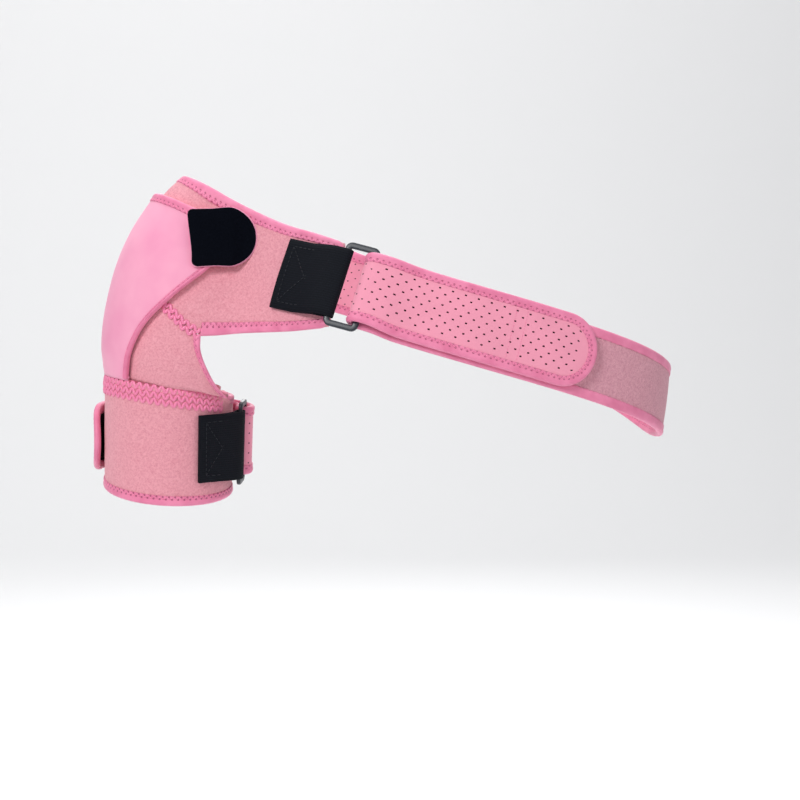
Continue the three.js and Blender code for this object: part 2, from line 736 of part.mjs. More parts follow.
function tabSpot(u, v) {
  const straightPart = TAB_LENGTH - TAB_HEIGHT / 2;
  const along = u * TAB_LENGTH;
  const round = Math.max(along - straightPart, 0) / (TAB_HEIGHT / 2);
  const half = (TAB_HEIGHT / 2) * Math.max(Math.sqrt(1 - round * round), TAB_NOSE);
  const middle = walk(wornForm, tabCentre, tabAlong, along - TAB_LENGTH / 2);
  return walk(wornForm, middle, tabUp, half * (1 - 2 * v));
}

const tabShares = evenShares(TAB_STEPS);
const tabSpots = tabShares.map((u) => evenShares(TAB_ROWS).map((v) => tabSpot(u, v)));
const tabBase = (i) => lerp(tabHigh, tabLow, smooth(tabShares[i], TAB_FALL, 1));
const tabSheet = thickSheet(tabSpots, tabBase, (i) => tabBase(i) + TAB_WALL);
brace.add(sheetSolid('flap_tab', tabSheet, BLACK_HOOK));

// Routes: a route gives the spot that lies a length along it and a width across it
function armRoute() {
  const radius = ARM_RADIUS + PANEL_WALL;
  const turn = (along) => radians(ARM_RING_ANGLE) + along / radius;
  const level = (angle) => ARM_BAND_DROP + ARM_BAND_LEVEL * Math.sin(angle);
  const spot = (along, across) => armSpot(turn(along), level(turn(along)) - across);
  return { spot, end: ARM_STRAP_LENGTH };
}

// The chest strap's middle line falls from the ring to the far side and climbs again behind
function strapHeight(across) {
  const before = CHEST_RING_ACROSS - across;
  if (before > 0) return WEBBING_SLOPE * before - CHEST_RING_DROP;
  const turn = (x) => Math.acos(clamp((x - CHEST_ACROSS) / CHEST_HALF_WIDTH, -1, 1));
  return -CHEST_RING_DROP - STRAP_DROP * (1 - turn(across) / turn(CHEST_RING_ACROSS));
}

// Moves a guide point onto a form without changing its height
function settleLevel(form, guide) {
  const p = guide.clone();
  for (let turn = 0; turn < LEVEL_TURNS; turn += 1) {
    const slope = slopeOf(form, p).setZ(0);
    p.addScaledVector(slope, (-SETTLE_FACTOR * form(p)) / slope.lengthSq());
  }
  return p;
}

function chestRoute() {
  const points = [];
  for (let k = 0; k <= ROUTE_STEPS; k += 1) {
    const turn = radians(lerp(ROUTE_FROM, ROUTE_TO, k / ROUTE_STEPS));
    const p = new THREE.Vector3(
      CHEST_ACROSS + CHEST_HALF_WIDTH * Math.cos(turn),
      -CHEST_FRONT + CHEST_HALF_DEPTH * Math.sin(turn),
      0,
    );
    for (let pass = 0; pass < ROUTE_PASSES; pass += 1) {
      p.z = strapHeight(p.x);
      p.copy(settleLevel(wornForm, p));
    }
    points.push(p.clone());
  }
  const line = new THREE.CatmullRomCurve3(points);
  line.arcLengthDivisions = ROUTE_DIVISIONS;
  const lengths = line.getLengths();
  const whole = lengths[lengths.length - 1];
  const alongAt = (across, from, to, sign) => {
    for (let share = from; share <= to; share += ROUTE_SEARCH_STEP) {
      if ((line.getPointAt(share).x - across) * sign > 0) return share * whole;
    }
    return to * whole;
  };
  const ring = alongAt(CHEST_RING_ACROSS, 0, FRONT_SHARE, 1);
  const back = alongAt(CHEST_RING_ACROSS, BACK_SHARE, 1, -1) - ring;
  const spot = (along, across) => {
    const share = clamp((ring + along) / whole, 0, 1);
    const centre = line.getPointAt(share);
    const n = slopeOf(wornForm, centre).normalize();
    const tangent = line.getTangentAt(share);
    const up = n.clone().cross(tangent).normalize();
    if (up.z < 0) up.negate();
    return settle(wornForm, centre.addScaledVector(up, across));
  };
  return { spot, back, end: back + STRAP_OVERLAP };
}

// Strap profile: stops of a length along the route and a height over it
function offsetStops(stops, distance) {
  return stops.map((stop, k) => {
    const before = stops[Math.max(k - 1, 0)];
    const after = stops[Math.min(k + 1, stops.length - 1)];
    const run = new THREE.Vector2(after.along - before.along, after.height - before.height);
    run.normalize();
    return {
      along: stop.along - run.y * distance,
      height: stop.height + run.x * distance,
    };
  });
}

// The band lies flat at the ring and follows the form further away from it
function bandSheet(route, flat, stops, halfWidths, rows, wall) {
  const face = (side) =>
    offsetStops(stops, (side * wall) / 2).map((stop, i) =>
      rows.map((share) => {
        const across = (stops[i].shift ?? 0) + halfWidths[i] * (1 - 2 * share);
        const place = raise(route.spot(stop.along, across), stop.height);
        const away = smooth(Math.abs(stop.along), FLAT_END, FLAT_FADE);
        return flat(stop.along, across, stop.height).lerp(place, away);
      }),
    );
  return { inner: face(-1), outer: face(1) };
}

// Half a turn round a ring bar, from below it to above it, on the side away from sign
function turnStops(bar, sign, clear, steps) {
  const reach = RING_BAR / 2 + clear;
  const rise = RING_THICKNESS / 2 + clear;
  return evenShares(steps).map((share) => {
    const angle = lerp(-Math.PI / 2, Math.PI / 2, share);
    return {
      along: bar.along - sign * reach * Math.cos(angle),
      height: bar.height + rise * Math.sin(angle),
    };
  });
}

function ringMesh(name, spot, tangent, height) {
  const outline = new THREE.Shape();
  roundedLoop(outline, RING_WIDTH / 2, RING_LENGTH / 2, RING_CORNER);
  const opening = new THREE.Path();
  const corner = RING_CORNER - RING_BAR / 2;
  roundedLoop(opening, RING_WIDTH / 2 - RING_BAR, RING_LENGTH / 2 - RING_BAR, corner);
  outline.holes.push(opening);
  const bevel = RING_THICKNESS / 4;
  const geometry = new THREE.ExtrudeGeometry(outline, {
    depth: RING_THICKNESS - 2 * bevel,
    bevelThickness: bevel,
    bevelSize: bevel,
    bevelOffset: -bevel,
    bevelSegments: 1,
    curveSegments: 4,
  });
  geometry.translate(0, 0, bevel - RING_THICKNESS / 2);
  const mesh = named(name, geometry, RING_PLASTIC);
  const up = spot.n.clone().cross(tangent).normalize();
  mesh.matrix.makeBasis(tangent, up, spot.n).setPosition(raise(spot, height));
  mesh.matrix.decompose(mesh.position, mesh.quaternion, mesh.scale);
  return mesh;
}

function roundedLoop(path, halfWidth, halfLength, corner) {
  path.moveTo(halfWidth - corner, -halfLength);
  path.absarc(halfWidth - corner, -halfLength + corner, corner, -Math.PI / 2, 0);
  path.absarc(halfWidth - corner, halfLength - corner, corner, 0, Math.PI / 2);
  path.absarc(-halfWidth + corner, halfLength - corner, corner, Math.PI / 2, Math.PI);
  path.absarc(-halfWidth + corner, -halfLength + corner, corner, Math.PI, 1.5 * Math.PI);
  path.closePath();
}

// A buckle set: webbing round one bar of the ring, and a strap that comes from behind, passes
// the other bar and folds back over itself
function buckle(prefix, route, sizes) {
  const centre = route.spot(0, 0);
  const tangent = centre.p.clone().sub(route.spot(-TURN_RUN_IN, 0).p);
  tangent.addScaledVector(centre.n, -tangent.dot(centre.n)).normalize();
  const strapClear = RING_CLEAR + TAPE_REACH + STRAP_WALL / 2;
  const webbingClear = RING_CLEAR + WEBBING_WALL / 2;
  const strapRise = sizes.strapBase + STRAP_WALL / 2 + strapClear;
  const webbingRise = sizes.webbingBase + WEBBING_WALL / 2 + webbingClear;
  const height = Math.max(strapRise, webbingRise) + RING_THICKNESS / 2;
  const reach = (RING_WIDTH - RING_BAR) / 2;
  brace.add(ringMesh(prefix + '_ring', centre, tangent, height));
  const across = centre.n.clone().cross(tangent).normalize();
  const flat = (along, aside, rise) =>
    raise(centre, rise).addScaledVector(tangent, along).addScaledVector(across, aside);

  // Webbing: up from its sewn end, round the bar and back over itself
  const nearBar = { along: -reach, height };
  const lower = sizes.webbingBase + WEBBING_WALL / 2;
  const upper = lower + WEBBING_WALL + LAYER_GAP;
  const webbingEnd = -sizes.webbingLength;
  const flatSpan = nearBar.along - webbingEnd;
  const webbingTurn = turnStops(nearBar, -1, webbingClear, 6);
  const webbingStops = [];
  for (const share of WEBBING_UNDER_SHARES) {
    const climb = smooth(share, WEBBING_CLIMB, 1);
    webbingStops.push({
      along: webbingEnd + share * flatSpan,
      height: lerp(lower, webbingTurn[0].height, climb),
    });
  }
  webbingStops.push(...webbingTurn);
  const top = webbingTurn[webbingTurn.length - 1].height;
  for (const share of WEBBING_OVER_SHARES) {
    const settled = smooth(share, WEBBING_LIES_FROM, WEBBING_LIES_BY);
    webbingStops.push({
      along: nearBar.along - share * flatSpan,
      height: lerp(top, upper, settled),
    });
  }
  const webbingHalf = webbingStops.map(() => WEBBING_WIDTH / 2);
  const webbing = bandSheet(route, flat, webbingStops, webbingHalf, evenShares(4), WEBBING_WALL);
  brace.add(sheetSolid(prefix + '_webbing', webbing, BLACK_WEBBING));

  // Strap: from its sewn end to the far bar, round it and back to the rounded tip
  const farBar = { along: reach, height };
  const under = (along) => sizes.strapBase + STRAP_WALL / 2 + sizes.lift(along);
  const strapTurn = turnStops(farBar, 1, strapClear, 8);
  const crest = strapTurn[strapTurn.length - 1].height;
  const over = (along) => {
    const settled = smooth(along - farBar.along, 0, FOLD_SETTLE);
    return lerp(crest, under(along) + FOLD_REST - sizes.drop(along), settled);
  };
  const stops = [];
  const underSteps = Math.round((route.end - farBar.along) / sizes.step);
  for (const share of evenShares(underSteps).slice(0, underSteps)) {
    const along = lerp(route.end, farBar.along + TURN_RUN_IN, share);
    const settled = smooth(along - farBar.along, 0, FOLD_SETTLE / 2);
    const height = lerp(strapTurn[0].height, under(along), settled);
    stops.push({ along, height, shift: -sizes.shift });
  }
  strapTurn.forEach((stop, k) => {
    const share = k / (strapTurn.length - 1);
    stops.push({ ...stop, shift: lerp(-sizes.shift, sizes.shift, share) });
  });
  const tipStart = sizes.foldLength - TIP_DEPTH;
  const overSteps = Math.round((tipStart - farBar.along) / sizes.step);
  for (const share of evenShares(overSteps).slice(1)) {
    const along = lerp(farBar.along, tipStart, share);
    stops.push({ along, height: over(along), shift: sizes.shift });
  }
  const half = stops.map(() => STRAP_WIDTH / 2);
  for (const row of TIP_ROWS) {
    const along = tipStart + row.along * TIP_DEPTH;
    stops.push({ along, height: over(along), shift: sizes.shift });
    half.push((row.width * STRAP_WIDTH) / 2);
  }
  const strapRows = rowShares(STRAP_WIDTH, 2);
  const strap = bandSheet(route, flat, stops, half, strapRows, STRAP_WALL);
  brace.add(sheetSolid(prefix + '_strap', strap, LINING));
  const tip = stops.length - 1;
  const lastRow = strapRows.length - 1;
  const tapeStops = stops.map((_, i) => [[i, 0], [Math.min(i, tip - 1), 1]]);
  for (let j = 1; j < lastRow; j += 1) tapeStops.push([[tip, j], [tip - 1, j]]);
  for (let i = tip; i >= 0; i -= 1) {
    tapeStops.push([[i, lastRow], [Math.min(i, tip - 1), lastRow - 1]]);
  }
  brace.add(tapeSolid(prefix + '_strap_binding', strap, tapeStops, TAPE));

  // The patch under the tip that fastens it
  const hookEnd = sizes.foldLength - TAPE_WIDTH - LAYER_GAP;
  const hookStops = evenShares(HOOK_WIDTHS.length - 1).map((share) => {
    const along = hookEnd - (1 - share) * HOOK_LENGTH;
    const below = STRAP_WALL / 2 + LAYER_GAP + HOOK_WALL / 2;
    return { along, height: over(along) - below };
  });
  const hookWidth = STRAP_WIDTH / 2 - TAPE_WIDTH - sizes.shift - HOOK_INSET;
  const hookHalf = HOOK_WIDTHS.map((share) => share * hookWidth);
  const hook = bandSheet(route, flat, hookStops, hookHalf, evenShares(4), HOOK_WALL);
  brace.add(sheetSolid(prefix + '_hook', hook, BLACK_HOOK));
}

const chest = chestRoute();
const chestLift = PANEL_WALL + 2 * TAPE_REACH + LAYER_GAP;
buckle('chest', chest, {
  strapBase: TAPE_REACH + LAYER_GAP,
  webbingBase: PANEL_WALL + LAYER_GAP,
  webbingLength: CHEST_WEBBING_LENGTH,
  foldLength: CHEST_FOLD_LENGTH,
  step: CHEST_STRAP_STEP,
  shift: STRAP_SHIFT,
  lift: (along) =>
    chestLift * smooth(along, chest.back - BACK_LIFT_START, chest.back - BACK_LIFT_END),
  drop: () => 0,
});

const arm = armRoute();
buckle('arm', arm, {
  strapBase: PANEL_WALL + TAPE_REACH + LAYER_GAP,
  webbingBase: PANEL_WALL + LAYER_GAP,
  webbingLength: ARM_WEBBING_LENGTH,
  foldLength: ARM_FOLD_LENGTH,
  step: ARM_STRAP_STEP,
  shift: 0,
  lift: () => 0,
  drop: (along) =>
    ARM_TIP_DROP * smooth(along, arm.end + TIP_DROP_START, arm.end + TIP_DROP_END),
});

export default brace;
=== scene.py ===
# %% [markdown]
# # Dressing a shoulder brace
#
# A shoulder brace is sewn from thin foam cloth: a panel over the ridge of the shoulder, a
# panel round its cap, a short sleeve, a smooth flap on top, and two straps that pass a
# plastic ring and fold back over themselves. Its cut edges are bound with folded elastic
# tape. The frame below gives the plain solids of these pieces. This lesson makes each of
# them again as cloth, tape and thread, in the same place.

# %% The frame and the tools
import math

import bmesh
import bpy
import numpy as np
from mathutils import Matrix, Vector


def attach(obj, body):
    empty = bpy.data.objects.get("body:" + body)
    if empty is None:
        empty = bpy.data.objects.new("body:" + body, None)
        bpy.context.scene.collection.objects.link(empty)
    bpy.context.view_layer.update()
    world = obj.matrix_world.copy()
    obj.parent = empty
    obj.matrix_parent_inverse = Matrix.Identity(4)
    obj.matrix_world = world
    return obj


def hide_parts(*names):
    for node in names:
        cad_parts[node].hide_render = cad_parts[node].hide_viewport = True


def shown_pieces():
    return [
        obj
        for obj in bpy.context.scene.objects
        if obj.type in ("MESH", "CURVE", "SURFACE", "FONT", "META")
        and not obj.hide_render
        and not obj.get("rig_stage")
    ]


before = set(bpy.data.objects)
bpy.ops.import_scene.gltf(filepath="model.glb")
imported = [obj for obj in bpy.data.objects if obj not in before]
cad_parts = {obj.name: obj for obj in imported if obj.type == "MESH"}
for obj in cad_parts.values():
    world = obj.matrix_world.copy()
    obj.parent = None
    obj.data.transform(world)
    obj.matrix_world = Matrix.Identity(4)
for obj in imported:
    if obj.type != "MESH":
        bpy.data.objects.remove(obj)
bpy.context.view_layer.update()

MM = 0.001
print("nodes in the frame:", len(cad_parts))

# %% [markdown]
# ## The camera
#
# The brace is seen from the front, a little from the left and from above. The camera is
# made first, so that everything after it can be looked at from there. A long lens keeps
# the round forms from bulging.

# %% The camera
CAMERA_TARGET = Vector((0.1739, -0.0040, -0.1540))
CAMERA_YAW = math.radians(-9)
CAMERA_PITCH = math.radians(7)
CAMERA_DISTANCE = 1.6
CAMERA_LENS = 93.78
CAMERA_SENSOR = 36


def add_camera():
    away = Vector((
        math.sin(CAMERA_YAW) * math.cos(CAMERA_PITCH),
        -math.cos(CAMERA_YAW) * math.cos(CAMERA_PITCH),
        math.sin(CAMERA_PITCH),
    ))
    data = bpy.data.cameras.new("studio_camera")
    data.lens = CAMERA_LENS
    data.sensor_width = CAMERA_SENSOR
    camera = bpy.data.objects.new("studio_camera", data)
    camera.location = CAMERA_TARGET + away * CAMERA_DISTANCE
    camera.rotation_euler = (-away).to_track_quat("-Z", "Y").to_euler()
    bpy.context.collection.objects.link(camera)
    bpy.context.scene.camera = camera
    return camera


camera = add_camera()
print("camera at", [round(x, 3) for x in camera.location])

# %% [markdown]
# ## The floor and the light
#
# The brace is held up in the air as a shoulder holds it, above a plain pale floor that
# curves up behind it. Four large soft lights and a pale sky leave only soft shadows, so
# that the weave and the stitches show without hard edges. A fifth light is for the wall.

# %% The floor and the light
FLOOR_DROP = 0.9
FLOOR_HALF = 6.0
WALL_BEHIND = 3.0
WALL_BEND = 1.2


def colour(red, green, blue):
    """A screen colour from 0 to 255 as the linear colour that a shader takes"""
    def linear(level):
        level = level / 255
        return level / 12.92 if level <= 0.04045 else ((level + 0.055) / 1.055) ** 2.4
    return (linear(red), linear(green), linear(blue), 1.0)


def add_floor():
    bm = bmesh.new()
    profile = [Vector((-FLOOR_HALF, -FLOOR_HALF, -FLOOR_DROP))]
    profile.append(Vector((-FLOOR_HALF, WALL_BEHIND, -FLOOR_DROP)))
    for step in range(1, 13):
        turn = math.radians(90) * step / 12
        profile.append(Vector((
            -FLOOR_HALF,
            WALL_BEHIND + WALL_BEND * math.sin(turn),
            WALL_BEND * (1 - math.cos(turn)) - FLOOR_DROP,
        )))
    profile.append(Vector((-FLOOR_HALF, WALL_BEHIND + WALL_BEND, FLOOR_HALF)))
    verts = [bm.verts.new(place) for place in profile]
    edges = [bm.edges.new(pair) for pair in zip(verts, verts[1:])]
    swept = bmesh.ops.extrude_edge_only(bm, edges=edges)
    moved = [item for item in swept["geom"] if isinstance(item, bmesh.types.BMVert)]
    bmesh.ops.translate(bm, verts=moved, vec=(2 * FLOOR_HALF, 0, 0))
    bmesh.ops.recalc_face_normals(bm, faces=bm.faces[:])
    mesh = bpy.data.meshes.new("studio_floor")
    bm.to_mesh(mesh)
    bm.free()
    mesh.shade_smooth()
    floor = bpy.data.objects.new("studio_floor", mesh)
    bpy.context.collection.objects.link(floor)
    paint = bpy.data.materials.new("pale_floor")
    paint.use_nodes = True
    shader = paint.node_tree.nodes["Principled BSDF"]
    shader.inputs["Base Color"].default_value = colour(240, 240, 240)
    shader.inputs["Roughness"].default_value = 0.9
    mesh.materials.append(paint)
    floor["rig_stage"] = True
    return floor


def add_light(name, place, size, power, target=CAMERA_TARGET):
    data = bpy.data.lights.new(name, "AREA")
    data.shape = "DISK"
    data.size = size
    data.energy = power
    light = bpy.data.objects.new(name, data)
    light.location = place
    aim = Vector(target) - Vector(place)
    light.rotation_euler = aim.to_track_quat("-Z", "Y").to_euler()
    bpy.context.collection.objects.link(light)
    return light


SKY_STRENGTH = 0.42
LIGHTS = {
    "key_light": ((-1.5, -2.0, 1.7), 1.0, 52),
    "fill_light": ((2.2, -2.0, 0.6), 1.6, 11),
    "top_light": ((0.3, 0.6, 2.2), 1.6, 24),
    "back_light": ((0.6, 2.4, 0.8), 1.6, 18),
}
WALL_LIGHT = ((0.2, 1.4, 2.4), 2.0, 48, (0.2, 4.2, -0.4))
add_floor()
for light_name, (place, size, power) in LIGHTS.items():
    add_light(light_name, place, size, power)
add_light("wall_light", *WALL_LIGHT)
sky = bpy.data.worlds.new("pale_sky")
bpy.context.scene.world = sky
sky.use_nodes = True
sky.node_tree.nodes["Background"].inputs["Color"].default_value = colour(250, 251, 255)
sky.node_tree.nodes["Background"].inputs["Strength"].default_value = SKY_STRENGTH
bpy.context.scene.view_settings.view_transform = "Standard"
print("lights:", ", ".join(LIGHTS))

# %% [markdown]
# ## The form that the cloth lies on
#
# All the cloth follows one smooth form: an arm, a cap, a ridge and a chest, blended into
# each other. Each is a signed distance: below zero inside, zero on the surface. The form
# could be sculpted, but a formula lets every piece find its own place on it. The sizes are
# in millimetres.

# %% Sizes of the form
ARM_RADIUS, ARM_ACROSS, ARM_TOP, ARM_TOP_SLANT = 45.0, -2.3, -145.0, 0.24
ARM_LEAN_BACK, ARM_LEAN_OUT = 0.12, 0.014
CAP_ACROSS, CAP_DROP, CAP_RISE, CAP_UNDER, CAP_POWER = 12.0, 112.0, 116.0, 58.0, 1.7
CAP_HALF_WIDTH, CAP_HALF_DEPTH = 55.5, 57.0
RIDGE_RADIUS, RIDGE_BACK = 36.0, 2.0
RIDGE_START = np.array([39.0, RIDGE_BACK, -13.5])
RIDGE_ALONG = np.array([114.0, RIDGE_BACK, 27.0])
CHEST_ACROSS, CHEST_FRONT, CHEST_HEIGHT, CHEST_POWER = 212.0, 8.0, 360.0, 2.5
CHEST_HALF_WIDTH, CHEST_HALF_DEPTH = 163.0, 112.0
CHEST_DRAPE, DRAPE_END, DRAPE_FADE, DRAPE_LEAST = 56.0, 158.0, 70.0, 0.05
CAP_BLEND, RIDGE_BLEND = 12.0, 20.0

# Chest sections: height, half width and half depth, as shares of the chest's sizes
CHEST_SECTIONS = np.array([
    (-0.90, 0.82, 0.88),
    (-0.62, 0.89, 0.95),
    (-0.51, 0.96, 0.98),
    (-0.36, 1.00, 1.00),
    (-0.23, 0.99, 0.93),
    (-0.12, 0.94, 0.80),
    (0.00, 0.83, 0.60),
    (0.10, 0.62, 0.38),
])
print("arm and cap, mm across:", 2 * ARM_RADIUS, 2 * CAP_HALF_WIDTH)

# %% Distances to the form
TINY = 1e-9


def smooth_min(a, b, reach):
    share = np.maximum(reach - np.abs(a - b), 0) / reach
    return np.minimum(a, b) - share * share * reach / 4


def chest_size(height, column):
    """A column of the chest table at a height, joined by a smooth curve"""
    level, value = CHEST_SECTIONS[:, 0], CHEST_SECTIONS[:, column]
    last = len(level) - 1
    at = np.clip(height / CHEST_HEIGHT, level[0], level[last])
    i = np.clip(np.searchsorted(level, at) - 1, 0, last - 1)
    row = np.arange(last + 1)
    low, high = np.maximum(row - 1, 0), np.minimum(row + 1, last)
    slope = (value[high] - value[low]) / (level[high] - level[low])
    step = level[i + 1] - level[i]
    t = (at - level[i]) / step
    s = 1 - t
    curve = value[i] * (1 + 2 * t) * s * s + value[i + 1] * t * t * (3 - 2 * t)
    return curve + step * t * s * (slope[i] * s - slope[i + 1] * t)


def arm_form(p):
    x, y, z = p[..., 0], p[..., 1], p[..., 2]
    down = np.maximum(ARM_TOP - z, 0)
    above = np.maximum(z - ARM_TOP - ARM_TOP_SLANT * (x - ARM_ACROSS), 0)
    across, back = x - ARM_ACROSS + ARM_LEAN_OUT * down, y - ARM_LEAN_BACK * down
    return np.sqrt(across ** 2 + back ** 2 + above ** 2) - ARM_RADIUS


def swell(offset, size):
    """Distance from a rounded body whose surface is where size is 1"""
    return np.linalg.norm(offset, axis=-1) * (1 - 1 / (size + TINY))


def cap_form(p):
    offset = p - np.array([CAP_ACROSS, RIDGE_BACK, -CAP_DROP])
    x, y, z = offset[..., 0], offset[..., 1], offset[..., 2]
    level = np.hypot(x / CAP_HALF_WIDTH, y / CAP_HALF_DEPTH)
    rise = np.abs(z) / np.where(z > 0, CAP_RISE, CAP_UNDER)
    return swell(offset, (level ** CAP_POWER + rise ** CAP_POWER) ** (1 / CAP_POWER))


def ridge_form(p):
    offset = p - RIDGE_START
    share = np.clip(offset @ RIDGE_ALONG / (RIDGE_ALONG @ RIDGE_ALONG), 0, 1)
    return np.linalg.norm(offset - share[..., None] * RIDGE_ALONG, axis=-1) - RIDGE_RADIUS


def chest_form(p):
    across = (p[..., 0] - CHEST_ACROSS) / (CHEST_HALF_WIDTH * chest_size(p[..., 2], 1))
    deep = (p[..., 1] + CHEST_FRONT) / (CHEST_HALF_DEPTH * chest_size(p[..., 2], 2))
    size = (np.abs(across) ** CHEST_POWER + np.abs(deep) ** CHEST_POWER) ** (1 / CHEST_POWER)
    return swell(p[..., :2] - np.array([CHEST_ACROSS, -CHEST_FRONT]), size)


def shoulder_form(p):
    cap = smooth_min(arm_form(p), cap_form(p), CAP_BLEND)
    return smooth_min(cap, ridge_form(p), RIDGE_BLEND)


def worn_form(p):
    drape = CHEST_DRAPE * np.clip((p[..., 2] + DRAPE_END) / DRAPE_FADE, DRAPE_LEAST, 1)
    return smooth_min(shoulder_form(p), chest_form(p), drape)


def unit(vectors):
    return vectors / (np.linalg.norm(vectors, axis=-1, keepdims=True) + TINY)


SLOPE_STEP = 0.4
SETTLE_FACTOR = 0.85


def slope_of(form, p):
    slopes = []
    for axis in np.eye(3) * SLOPE_STEP:
        slopes.append((form(p + axis) - form(p - axis)) / (2 * SLOPE_STEP))
    return np.stack(slopes, axis=-1)


def settle(form, guide, turns=24):
    """Moves guide points onto a form, and gives them with the outward direction there"""
    p = np.array(guide, float)
    for _ in range(turns):
        slope = slope_of(form, p)
        length = (slope ** 2).sum(axis=-1, keepdims=True)
        p = p - SETTLE_FACTOR * form(p)[..., None] * slope / length
    return p, unit(slope_of(form, p))


top_of_cap = settle(worn_form, np.array([[0.0, RIDGE_BACK, 5.0]]))[0][0]
print("top of the cap, mm:", np.round(top_of_cap, 1))

# %% [markdown]
# ## Guide curves for the cut edges
#
# A pattern piece is known by its edges. Each edge is a curve through a few points, given as
# shares of the panel's reach across, forward and down. The back edges mirror the front
# ones. A four-sided patch then fills the space between four edges, as a net is drawn
# between four ropes.

# %% Edge tables
PANEL_REACH, PANEL_FORWARD, PANEL_DROP = 120.0, 100.0, 100.0
NECK_EDGE = [
    (1.01, 0.84, 0.3),
    (0.86, 0.75, 0.24),
    (0.69, 0.6, 0.185),
    (0.475, 0.42, 0.07),
    (0.27, 0.27, -0.055),
    (0.15, 0.14, -0.14),
    (0.09, -0.02, -0.17),
]
LOWER_EDGE = [
    (0.88, 1.02, 0.88),
    (0.68, 0.89, 0.915),
    (0.45, 0.67, 0.95),
    (0.27, 0.57, 0.97),
    (0.15, 0.57, 0.975),
]
CAP_SEAM = [
    (0.15, 0.57, 0.975),
    (0.06, 0.55, 0.905),
    (-0.02, 0.52, 0.81),
    (-0.11, 0.45, 0.7),
    (-0.22, 0.25, 0.58),
    (-0.27, -0.02, 0.52),
]
ARMHOLE_EDGE = [
    (0.15, 0.57, 0.975),
    (0.145, 0.58, 1.08),
    (0.185, 0.54, 1.22),
    (0.25, 0.43, 1.33),
    (0.335, 0.3, 1.35),
]
FLAP_TOP_EDGE = [
    (0.29, 0.44, 0.165),
    (0.215, 0.42, 0.09),
    (0.1, 0.41, 0.03),
    (0.0, 0.28, -0.02),
    (-0.05, -0.02, 0.0),
]
FLAP_FRONT_EDGE = [
    (0.29, 0.44, 0.165),
    (0.275, 0.48, 0.36),
    (0.2, 0.5, 0.48),
    (-0.02, 0.54, 0.67),
    (-0.195, 0.5, 0.85),
    (-0.29, 0.43, 1.08),
    (-0.315, 0.38, 1.3),
]
print("points on the neck edge and the armhole:", len(NECK_EDGE), len(ARMHOLE_EDGE))

# %% Curves and patches


class EvenCurve:
    """A smooth curve through points that is stepped evenly along its length"""

    def __init__(self, points, divisions=200):
        points = np.array(points, float)
        before, after = 2 * points[0] - points[1], 2 * points[-1] - points[-2]
        self.knots = np.vstack([before, points, after])
        self.spans = len(points) - 1
        self.shares = np.linspace(0, 1, divisions + 1)
        steps = np.linalg.norm(np.diff(self.raw(self.shares), axis=0), axis=1)
        self.lengths = np.concatenate([[0], np.cumsum(steps)])
        self.length = self.lengths[-1]

    def raw(self, share):
        """Centripetal spline: the step between knots is the root of their distance"""
        at = np.asarray(share) * self.spans
        i = np.clip(np.floor(at).astype(int), 0, self.spans - 1)
        t = (at - i)[..., None]
        a, b, c, d = (self.knots[i + k] for k in range(4))
        first, middle, last = (
            np.sqrt(np.linalg.norm(end - start, axis=-1, keepdims=True))
            for start, end in ((a, b), (b, c), (c, d))
        )
        leave = ((b - a) / first - (c - a) / (first + middle) + (c - b) / middle) * middle
        arrive = ((c - b) / middle - (d - b) / (middle + last) + (d - c) / last) * middle
        return (
            b + leave * t
            + (3 * c - 3 * b - 2 * leave - arrive) * t ** 2
            + (2 * b - 2 * c + leave + arrive) * t ** 3
        )

    def at(self, share):
        return self.raw(np.interp(np.asarray(share) * self.length, self.lengths, self.shares))


def guide_curve(table, side):
    across, forward, drop = np.array(table).T
    deep = RIDGE_BACK - side * (forward * PANEL_FORWARD + RIDGE_BACK)
    return EvenCurve(np.stack([across * PANEL_REACH, deep, -drop * PANEL_DROP], axis=1))


def mix(a, b, share):
    share = np.asarray(share, float)
    if np.ndim(a) > np.ndim(share) or np.ndim(b) > np.ndim(share):
        share = share[..., None]
    return a + (b - a) * share


def patch(top, bottom, start, end):
    """A net between four edges: top and bottom run along u, start and end along v"""
    def place(u, v):
        first, last = np.zeros_like(u), np.ones_like(u)
        rails = mix(top(u), bottom(u), v) + mix(start(v), end(v), u)
        corners = mix(mix(top(first), top(last), u), mix(bottom(first), bottom(last), u), v)
        return rails - corners
    return place


def straight(a, b):
    return lambda share: mix(a, b, share)


def smooth_step(value, low, high):
    t = np.clip((value - low) / (high - low), 0, 1)
    return t * t * (3 - 2 * t)


neck_length = guide_curve(NECK_EDGE, 1).length
print("half the neck edge, mm:", round(neck_length))

# %% [markdown]
# ## Where each panel lies
#
# A panel's place is a function: a share along it and a share across it give a point on the
# form and the way out of it. The share along runs from the front edge, 0, over the top, 1,
# to the back edge, 2. The cloth is then lifted off the form by its own height.

# %% Panels on the form
PANEL_WALL, FLAP_WALL, STRAP_WALL = 3.2, 3.6, 3.0
TAPE_WALL, TAPE_WIDTH, TAPE_GAP = 0.6, 6.5, 0.36
TAPE_REACH = TAPE_WALL + TAPE_GAP
LOWER_STEPS, SEAM_STEPS = 8, 6
CORNER_SHARE = LOWER_STEPS / (LOWER_STEPS + SEAM_STEPS)
NECK_CORNER_SHARE = 0.7
SLEEVE_LENGTH, SLEEVE_RISE, SLEEVE_SLANT, SLEEVE_FRONT_RISE = 80.0, 5.0, 7.5, 8.0
HEM_SLANT, SEAM_INSET, SLEEVE_SEAM_GAP = 2.0, 5.5, 1.3
ARMPIT_HALF_ANGLE = math.radians(38)
FLAP_SEAM_ANGLE = math.radians(131)
FLAP_LIFT, FLAP_EDGE_LIFT, FLAP_RISE_SHARE = 2.1, 1.4, 0.4
ARM_PIVOT = np.array([ARM_ACROSS, 0.0, ARM_TOP])
ARM_AXIS = unit(np.array([ARM_LEAN_OUT, -ARM_LEAN_BACK, 1.0]))


